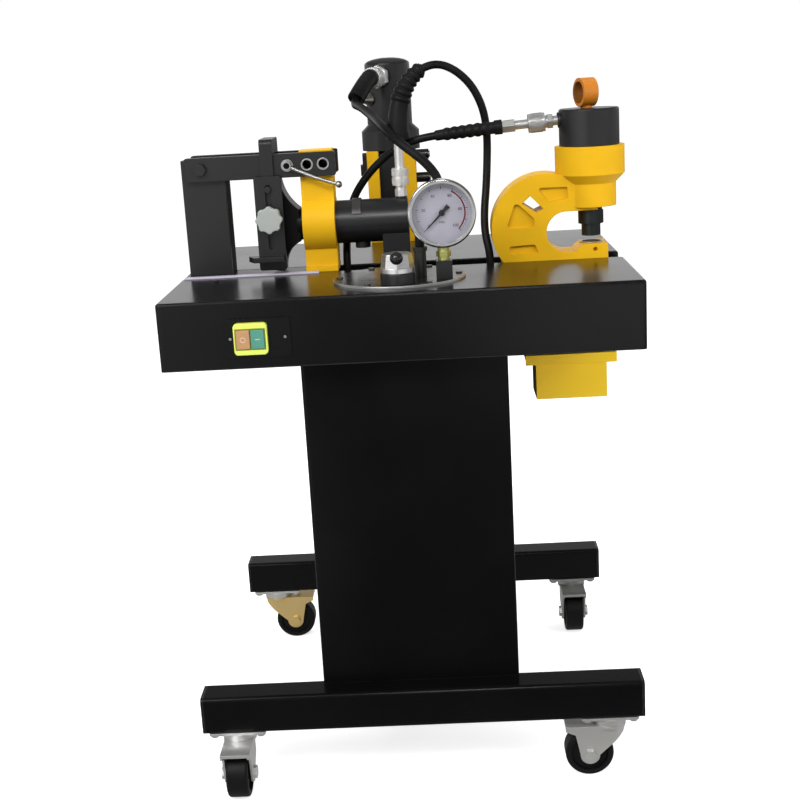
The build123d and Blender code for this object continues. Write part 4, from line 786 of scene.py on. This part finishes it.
# Hose routes, counted from the deck's centre in millimetres, and real lengths in metres
ROUTES = {
    "bender_hose": (
        (4, -35, 198), (4, -35, 228), (10, -35, 260), (24, -34, 287), (45, -31, 305), (72, -26, 311),
        (99, -20, 299), (122, -14, 276), (136, -9, 249), (143, -5, 222), (145, -3, 190), (143, -4, 150),
        (140, -10, 114), (135, -22, 78), (134, -38, 44), (141, -53, 12), (141, -53, -20),
    ),
    "punch_hose": (
        (-90, -16, -20), (-90, -16, 10), (-89, -3, 40), (-85, 11, 72), (-75, 9, 106), (-56, 4, 135),
        (-31, -2, 161), (-5, -10, 181), (30, -26, 197), (103.4, -35, 204.9), (167.3, -35, 209),
    ),
    "cutter_hose": (
        (-65.8, 177.7, 264.5), (-74.6, 163.8, 249.8), (-60, 118, 247), (-38.5, 45, 233), (-25.5, -20, 224),
        (-13.5, -60, 215), (3.5, -80, 198.5), (26, -98, 181.5), (49.5, -118, 162.5), (66, -141, 139),
        (57, -165, 117), (44, -178, 98), (31, -186, 74), (31, -186, 48),
    ),
}
BOOT_ROUTE = ((-44.2, 219.7, 292), (-49.2, 204.5, 292), (-69.4, 172, 258.5))

# The sleeve on each hose: its piece, the length that it covers and its shape in metres; the boot has no ribs
SLEEVE_ON = {
    "bender_hose": "bender_sleeve_look",
    "punch_hose": "punch_sleeve_look",
    "cutter_hose": "cutter_boot_look",
}
SLEEVE_LENGTHS = {"bender_hose": 0.122, "punch_hose": 0.106}
SLEEVE_SHAPES = {
    "bender_hose": {
        "Start Radius": 0.0178,
        "End Radius": 0.0098,
        "Collar Radius": 0.001,
        "Collar Length": 0.013,
        "First Rib": 0.058,
        "Last Rib": 0.118,
        "Pitch": 0.0103,
        "Lip": 0.002,
    },
    "punch_hose": {
        "Start Radius": 0.0098,
        "End Radius": 0.0082,
        "Collar Radius": 0.0017,
        "Collar Length": 0.012,
        "First Rib": 0.02,
        "Last Rib": 0.0925,
        "Pitch": 0.0121,
        "Lip": 0.0012,
    },
    "cutter_hose": {
        "Start Radius": 0.0142,
        "End Radius": 0.0149,
        "Collar Radius": 0.0007,
        "Collar Length": 0.008,
    },
}
RIB_SHARES = {"bender_hose": 1.1, "punch_hose": 0.75, "cutter_hose": 0.0}

# Edges of turned pieces that stay sharp
SHARP_ANGLE = radians(35)

# Turned rubber rings: radius and height in metres, and the grommets' places in the channel in millimetres
BOOT_LIP = (
    (0.0088, 0.0), (0.0112, 0.0002), (0.0132, 0.0016), (0.0146, 0.0012), (0.0151, -0.002), (0.0146, -0.004),
)
GROMMET = ((0.0064, 0.0), (0.0128, 0.0), (0.013, 0.0018), (0.0118, 0.003), (0.0074, 0.003), (0.0064, 0.002))
GROMMET_PLACES = {"bender_hose": (141, -53, -12), "punch_hose": (-90, -16, -12)}

# Knurled bands of the couplers in metres: centre, direction, radius and length
PUNCH_COUPLER_TILT = radians(3.6)
PUNCH_COUPLER_WAY = Vector((-cos(PUNCH_COUPLER_TILT), 0, -sin(PUNCH_COUPLER_TILT)))
PUNCH_PORT = spot(303, -35, 217.5)
CUTTER_COUPLER_TURN = radians(18)
CUTTER_COUPLER_WAY = Vector((-sin(CUTTER_COUPLER_TURN), -cos(CUTTER_COUPLER_TURN), 0))
CUTTER_PORT = spot(-17.5, 302, 292)
BENDER_COUPLER = (4, -35)
KNURLED_BANDS = (
    (spot(*BENDER_COUPLER, 133.5), UP, 0.0127, 0.009),
    (spot(*BENDER_COUPLER, 147), UP, 0.0127, 0.010),
    (PUNCH_PORT + PUNCH_COUPLER_WAY * 0.082, PUNCH_COUPLER_WAY, 0.0144, 0.018),
    (CUTTER_PORT + CUTTER_COUPLER_WAY * 0.0725, CUTTER_COUPLER_WAY, 0.017, 0.016),
)

# The gauge's dial about the needle's pivot, in metres; a tick has a length, a width and a thickness
DIAL_BEHIND_PIVOT = 0.00295
NEEDLE_THICKNESS = 0.0012
DIAL_START = radians(225)
DIAL_SWEEP = radians(-270)
TICK_RIM = 0.0388
SMALL_TICK = (0.0026, 0.0004, 0.0002)
LARGE_TICK = (0.0043, 0.0008, 0.0002)
LARGE_TICKS = 11
RED_BARS = 80
RED_ARC = {
    "Count": RED_BARS,
    "Start": radians(63),
    "Step": radians(-108) / (RED_BARS - 1),
    "Radius": 0.0338,
    "Size": (0.002, 0.0012, 0.00016),
}
NUMBER_RADIUS = 0.0272
NUMBER_HEIGHT = 0.0062
NUMBER_STEPS = 5
NUMBER_STEP = 20
UNIT_DROP = 0.014
UNIT_HEIGHT = 0.005
PRINT_LIFT = 0.0001
LETTER_DEPTH = 0.00005
NEEDLE_CAP = ((0.0034, 0.0), (0.0034, 0.0006), (0.0026, 0.0014))

# Divisions of the bend scale about the middle of its top, in metres
SCALE_MARKS = {"Count": 42, "Step": 0.005, "Size": (0.0005, 0.0036, 0.0002), "Growth": 0.9}
FIRST_MARK = (-0.103, 0, 0.00005)

# Marks on the push buttons: a ring, and a round dot that is drawn out to a bar
STOP_RING = ((0.0026, 0.0), (0.0027, 0.0004), (0.0041, 0.0004), (0.0042, 0.0))
START_DOT = ((0.0001, 0.0004), (0.0007, 0.0004), (0.0007, 0.0))
START_STRETCH = Matrix.Diagonal((6.4, 1.2, 1, 1))

# Heads of bolts and screws, and their places about the middle of what they hold, in metres
CASTER_BOLT = {"Sides": 6, "Radius": 0.0062, "Height": 0.0035, "Recess": 0.001}
CASTER_BOLT_COLUMNS = (-0.036, 0.036)
CASTER_BOLT_ROWS = (-0.018, 0.018)
CASTER_PLATE = 0.004
COVER_SCREW = {"Sides": 24, "Radius": 0.0045, "Height": 0.002, "Recess": 0.002}
COVER_COLUMNS = (-0.105, 0.105)
COVER_ROWS = (-0.19, 0.0, 0.19)
SWITCH_SCREW = {"Sides": 24, "Radius": 0.0021, "Height": 0.001, "Recess": 0.0009}
SWITCH_SCREW_COLUMNS = (-0.041, 0.038)
DECK_SCREW = {"Sides": 24, "Radius": 0.0034, "Height": 0.0012, "Recess": 0.0015}
DECK_SCREW_PLACE = (-0.289, -0.113, 0)

# Studio: half the floor's width, its glow and the soft light
FLOOR_HALF = 30
FLOOR_GLOW = 0.7
ROOM_LIGHT = 0.45

# Lamps: place, target and size in metres, power in watts, and whether the gloss shows them
LAMPS = {
    "key": ((-1.6, -2.4, 2.6), (0, 0, 0.7), 1.6, 64, True),
    "fill": ((2.4, -1.6, 1.8), (0, 0, 0.7), 1.6, 36, False),
    "front": ((0.1, -2.5, 2.5), (0, 0, 0.8), 0.55, 19, True),
    "top": ((0.0, 0.6, 3.2), (0, 0, 0.8), 2.4, 48, False),
}

# The camera, as it was fitted to the photograph: metres, radians and millimetres of the lens
CAMERA_PLACE = (0.05227, -2.1945, 1.09714)
CAMERA_YAW = 0.03355
CAMERA_PITCH = 0.24628
CAMERA_ROLL = 0.05612
CAMERA_LENS = 60.564
CAMERA_SENSOR = 36


def route_curve(name, points):
    """One open smooth spline with the route's points as its control points."""
    curve = bpy.data.curves.new(name, "CURVE")
    curve.dimensions = "3D"
    spline = curve.splines.new("NURBS")
    spline.points.add(len(points) - 1)
    for control, point in zip(spline.points, points):
        control.co = (*spot(*point), 1)
    spline.order_u = 3
    spline.use_endpoint_u = True
    spline.resolution_u = 12
    curve.resolution_u = 12
    return curve


def route_line(points):
    """Points along a route's spline."""
    mesh = plain_mesh(held("route", route_curve("route", points)))
    line = [vertex.co.copy() for vertex in mesh.vertices]
    bpy.data.meshes.remove(mesh)
    return line


def first_stretch(line, length):
    """The part of a line from its start to a distance along it."""
    kept = [line[0]]
    for here, after in zip(line, line[1:]):
        step = (after - here).length
        if step >= length:
            kept.append(here.lerp(after, length / step))
            break
        kept.append(after)
        length -= step
    return kept


def line_mesh(line):
    """A line as a mesh of edges."""
    mesh = bpy.data.meshes.new("line")
    mesh.from_pydata(line, [(i, i + 1) for i in range(len(line) - 1)], [])
    return mesh


class BUSBAR_OT_finishes(bpy.types.Operator):
    """Give every solid of the machine its finish"""

    bl_idname = "busbar.finishes"
    bl_label = "Finishes"

    def execute(self, context):
        finishes.update(make_finishes(context.scene.busbar_colours))
        for finish, names in FINISH_OF.items():
            for name in names.split():
                solid = frame["nodes"][name]
                solid.data.materials.clear()
                solid.data.materials.append(finishes[finish])
        return {"FINISHED"}


class BUSBAR_OT_sleeves(bpy.types.Operator):
    """Pull the ribbed sleeves, the cutter's boot and the grommets over the hoses"""

    bl_idname = "busbar.sleeves"
    bl_label = "Sleeves"

    def execute(self, context):
        tree = ribbed_sleeve_tree()
        for hose, name in SLEEVE_ON.items():
            line = self.covered_line(hose)
            rib = context.scene.busbar_sizes.rib * RIB_SHARES[hose]
            sleeve = grow(tree, "sleeve", {**SLEEVE_SHAPES[hose], "Rib": rib}, line_mesh(line))
            if hose in GROMMET_PLACES:
                placing = Matrix.Translation(spot(*GROMMET_PLACES[hose]))
                profile = GROMMET
            else:
                placing = facing(line[-1], line[-1] - line[-2])
                profile = BOOT_LIP
            ring = turned(profile, placing, "sleeve", segments=32, looped=True)
            piece = keep(name, joined(name, sleeve, ring), "frame")
            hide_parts("hose_sleeves")
        return {"FINISHED"}

    def covered_line(self, hose):
        """The stretch that a sleeve covers, from the fitting onwards."""
        if hose == "cutter_hose":
            return route_line(BOOT_ROUTE)
        line = route_line(ROUTES[hose])
        if hose == "punch_hose":
            line.reverse()
        return first_stretch(line, SLEEVE_LENGTHS[hose])


class BUSBAR_OT_hoses(bpy.types.Operator):
    """Lay the three pressure hoses on smooth lines"""

    bl_idname = "busbar.hoses"
    bl_label = "Hoses"

    def execute(self, context):
        sizes = context.scene.busbar_sizes
        for name, points in ROUTES.items():
            width = sizes.cutter_hose if name == "cutter_hose" else sizes.hose
            curve = route_curve(name + "_look", points)
            curve.bevel_depth = width / 2
            curve.bevel_resolution = 6
            curve.use_fill_caps = True
            curve.materials.append(finishes["hose"])
            hose = keep(name + "_look", curve, "frame")
            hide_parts(name)
        return {"FINISHED"}


class BUSBAR_OT_knurls(bpy.types.Operator):
    """Roll the knurls on the quick couplers"""

    bl_idname = "busbar.knurls"
    bl_label = "Knurls"

    def execute(self, context):
        sizes = context.scene.busbar_sizes
        tree = ring_of_bars_tree()
        meshes = []
        for centre, way, radius, length in KNURLED_BANDS:
            ridges = {
                "Count": sizes.knurl_count,
                "Start": 0.0,
                "Step": 2 * pi / sizes.knurl_count,
                "Radius": radius,
                "Size": (sizes.knurl * 2, pi * radius / sizes.knurl_count, length),
            }
            meshes.append(grow(tree, "coupler", ridges, placing=facing(centre, way)))
        keep("coupler_knurls", joined("coupler_knurls", *meshes), "frame")
        return {"FINISHED"}


class BUSBAR_OT_gauge(bpy.types.Operator):
    """Print the gauge's dial: divisions, red arc and numbers"""

    bl_idname = "busbar.gauge"
    bl_label = "Gauge dial"

    def execute(self, context):
        small_ticks = context.scene.busbar_sizes.dial_parts + 1
        pivot = PIVOTS["needle_turn"]
        face = facing(pivot + REAR * DIAL_BEHIND_PIVOT, FRONT)
        tree = ring_of_bars_tree()
        meshes = []
        for count, size in ((small_ticks, SMALL_TICK), (LARGE_TICKS, LARGE_TICK)):
            ticks = {
                "Count": count,
                "Start": DIAL_START,
                "Step": DIAL_SWEEP / (count - 1),
                "Radius": TICK_RIM - size[0] / 2,
                "Size": size,
            }
            meshes.append(grow(tree, "print", ticks, placing=face))
        meshes.append(grow(tree, "red", RED_ARC, placing=face))
        for step in range(NUMBER_STEPS + 1):
            angle = DIAL_START + DIAL_SWEEP * step / NUMBER_STEPS
            place = Vector((NUMBER_RADIUS * cos(angle), NUMBER_RADIUS * sin(angle), PRINT_LIFT))
            number = str(NUMBER_STEP * step)
            meshes.append(lettering(number, NUMBER_HEIGHT, face @ Matrix.Translation(place)))
        unit_place = Matrix.Translation((0, -UNIT_DROP, PRINT_LIFT))
        meshes.append(lettering("MPa", UNIT_HEIGHT, face @ unit_place))
        keep("gauge_print", joined("gauge_print", *meshes), "frame")
        tip = facing(pivot + FRONT * NEEDLE_THICKNESS, FRONT)
        cap = turned(NEEDLE_CAP, tip, "print", segments=24)
        keep("gauge_needle_cap", cap, "needle")
        return {"FINISHED"}


class BUSBAR_OT_scale(bpy.types.Operator):
    """Cut the divisions of the bend scale"""

    bl_idname = "busbar.scale"
    bl_label = "Bend scale"

    def execute(self, context):
        placing = on_face("bend_scale", UP) @ Matrix.Translation(FIRST_MARK)
        marks = grow(row_of_bars_tree(), "print", SCALE_MARKS, placing=placing)
        keep("bend_scale_marks", marks, "frame")
        return {"FINISHED"}


class BUSBAR_OT_switch(bpy.types.Operator):
    """Mould the marks on the push buttons and drive the plate's screws"""

    bl_idname = "busbar.switch"
    bl_label = "Switch marks"

    def execute(self, context):
        ring = turned(STOP_RING, on_face("stop_button", FRONT), "stop_mark", segments=28, looped=True)
        keep("stop_mark", ring, "stop_button")
        placing = on_face("start_button", FRONT) @ START_STRETCH
        bar = turned(START_DOT, placing, "start_mark", segments=16)
        keep("start_mark", bar, "start_button")
        middle = on_face("switch_plate", FRONT).translation
        points = [middle + Vector((x, 0, 0)) for x in SWITCH_SCREW_COLUMNS]
        screws = screw_heads(screws_tree(), "steel", SWITCH_SCREW, points, FRONT)
        keep("switch_screws", screws, "frame")
        return {"FINISHED"}


class BUSBAR_OT_fittings(bpy.types.Operator):
    """Bolt on the casters and drive the screws of the rear cover and the deck"""

    bl_idname = "busbar.fittings"
    bl_label = "Bolts and screws"

    def execute(self, context):
        tree = screws_tree()
        plate_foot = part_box("caster_plates")[1].z - CASTER_PLATE
        plates = [Vector((*pivot.xy, plate_foot)) for name, pivot in PIVOTS.items() if "swivel" in name]
        corners = [Vector((x, y, 0)) for x in CASTER_BOLT_COLUMNS for y in CASTER_BOLT_ROWS]
        bolts = [plate + corner for plate in plates for corner in corners]
        heads = screw_heads(tree, "zinc", CASTER_BOLT, bolts, DOWN)
        keep("caster_bolts", heads, "frame")
        middle = on_face("column_back_cover", REAR).translation
        points = [middle + Vector((x, 0, z)) for x in COVER_COLUMNS for z in COVER_ROWS]
        cover = screw_heads(tree, "steel", COVER_SCREW, points, REAR)
        place = on_face("table_body", UP).translation + Vector(DECK_SCREW_PLACE)
        deck = screw_heads(tree, "oxide", DECK_SCREW, [place], UP)
        keep("small_screws", joined("small_screws", cover, deck), "frame")
        return {"FINISHED"}


class BUSBAR_OT_stage(bpy.types.Operator):
    """Set the floor, the studio light and the camera"""

    bl_idname = "busbar.stage"
    bl_label = "Studio"

    def execute(self, context):
        scene = context.scene
        scene.view_settings.view_transform = "Standard"
        self.floor(scene.busbar_colours.floor)
        self.world(scene)
        self.lamps()
        self.camera(scene)
        return {"FINISHED"}

    def floor(self, shade):
        """Pale floor that glows a little for the camera and has its own image in the gloss."""
        mesh = bpy.data.meshes.new("floor")
        corners = [(x * FLOOR_HALF, y * FLOOR_HALF, 0) for x, y in ((-1, -1), (1, -1), (1, 1), (-1, 1))]
        mesh.from_pydata(corners, [], [(0, 1, 2, 3)])
        finish = Finish("studio_floor")
        base = finish.mix(finish.noise(1.5, detail=2.0), times(shade, 0.98), shade)
        seen, mirrored = finish.looks()
        matt = finish.add("ShaderNodeBsdfDiffuse", {"Color": base})
        glow = finish.add("ShaderNodeEmission", {"Strength": seen * FLOOR_GLOW})
        lit = finish.add("ShaderNodeAddShader", {0: matt, 1: glow})
        image = finish.add("ShaderNodeEmission", {"Strength": self.mirror_image(finish)})
        both = finish.add("ShaderNodeMixShader", {0: mirrored, 1: lit, 2: image})
        finish.add("ShaderNodeOutputMaterial", {"Surface": both})
        mesh.materials.append(finish.material)
        held("floor", mesh)

    def mirror_image(self, finish):
        """How bright the floor stands in the gloss: dim in front, with pale pools to both sides."""
        back = finish.axis("Y")
        slant = finish.axis("X") / (0.0 - back) + 0.5
        run = back * 0.05 + 0.5
        left = finish.ramp(slant, [(0.25, 0.7), (0.35, 0.2), (0.41, 0.03), (0.5, 0.08)])
        right = finish.ramp(slant, [(0.47, 0.0), (0.52, 0.2), (0.62, 0.9), (0.7, 1.0)])
        window = finish.ramp(slant, [(0.23, 1.0), (0.27, 0.42)])
        near = finish.ramp(run, [(0.18, 0.0), (0.25, 1.0), (0.435, 1.0), (0.46, 0.25), (0.485, 0.0)])
        middle = finish.ramp(run, [(0.18, 0.0), (0.25, 1.0), (0.33, 1.0), (0.37, 0.1), (0.48, 0.0)])
        far = finish.ramp(run, [(0.18, 1.0), (0.25, 0.0)])
        under = finish.ramp(run, [(0.47, 0.0), (0.485, 0.4), (0.56, 0.4), (0.61, 0.03)])
        return near * left + middle * right * 1.3 + far * window * 1.9 + under

    def world(self, scene):
        """White for the camera, softer as light, and a room with a dim ceiling in the gloss."""
        scene.world = bpy.data.worlds.new("studio")
        scene.world.use_nodes = True
        graph = Graph(scene.world.node_tree)
        way = graph.add("ShaderNodeTexCoord", output="Generated")
        depth = graph.add("ShaderNodeSeparateXYZ", {"Vector": way}, output="Y")
        rise = graph.add("ShaderNodeSeparateXYZ", {"Vector": way}, output="Z")
        walls = graph.ramp(depth * 0.5 + 0.5, [(0.0, 0.3), (0.2, 0.4), (0.45, 0.8), (0.6, 1.0)])
        ceiling = graph.ramp(rise * 0.5 + 0.5, [(0.6, 1.0), (0.7, 0.13), (0.95, 0.35)])
        seen, mirrored = graph.looks()
        strength = ROOM_LIGHT + seen * (1.0 - ROOM_LIGHT) + mirrored * (walls * ceiling - ROOM_LIGHT)
        sky = graph.add("ShaderNodeBackground", {"Color": (1, 1, 1), "Strength": strength})
        graph.add("ShaderNodeOutputWorld", {"Surface": sky})

    def lamps(self):
        """Square lamps that look at the machine."""
        for name, (place, target, size, power, mirrored) in LAMPS.items():
            lamp = bpy.data.lights.new(name, "AREA")
            lamp.size = size
            lamp.energy = power
            holder = held(name, lamp)
            holder.visible_glossy = mirrored
            holder.matrix_world = facing(Vector(place), Vector(place) - Vector(target))

    def camera(self, scene):
        """Camera in the place from which the photograph was taken."""
        data = bpy.data.cameras.new("camera")
        data.sensor_width = CAMERA_SENSOR
        data.lens = CAMERA_LENS
        data.clip_end = 100
        scene.camera = held("camera", data)
        turn = Matrix.Rotation(CAMERA_YAW, 4, "Z") @ Matrix.Rotation(pi / 2 - CAMERA_PITCH, 4, "X")
        turn = turn @ Matrix.Rotation(-CAMERA_ROLL, 4, "Z")
        scene.camera.matrix_world = Matrix.Translation(CAMERA_PLACE) @ turn


OPERATORS = (
    BUSBAR_OT_finishes,
    BUSBAR_OT_sleeves,
    BUSBAR_OT_hoses,
    BUSBAR_OT_knurls,
    BUSBAR_OT_gauge,
    BUSBAR_OT_scale,
    BUSBAR_OT_switch,
    BUSBAR_OT_fittings,
    BUSBAR_OT_stage,
)


class BUSBAR_PT_panel(bpy.types.Panel):
    """Sidebar panel with the machine's steps, colours and sizes"""

    bl_idname = "BUSBAR_PT_panel"
    bl_label = "Busbar Machine"
    bl_space_type = "VIEW_3D"
    bl_region_type = "UI"
    bl_category = "Busbar Machine"

    def draw(self, context):
        for operator in OPERATORS:
            self.layout.operator(operator.bl_idname)
        for group in (context.scene.busbar_colours, context.scene.busbar_sizes):
            column = self.layout.column()
            for name in group.__annotations__:
                column.prop(group, name)


CLASSES = (BusbarColours, BusbarSizes, *OPERATORS, BUSBAR_PT_panel)


def register():
    for entry in CLASSES:
        bpy.utils.register_class(entry)
    bpy.types.Scene.busbar_colours = PointerProperty(type=BusbarColours)
    bpy.types.Scene.busbar_sizes = PointerProperty(type=BusbarSizes)


def unregister():
    del bpy.types.Scene.busbar_sizes
    del bpy.types.Scene.busbar_colours
    for entry in reversed(CLASSES):
        bpy.utils.unregister_class(entry)


def main():
    register()
    for operator in OPERATORS:
        group, name = operator.bl_idname.split(".")
        getattr(getattr(bpy.ops, group), name)()


if __name__ == "__main__":
    main()
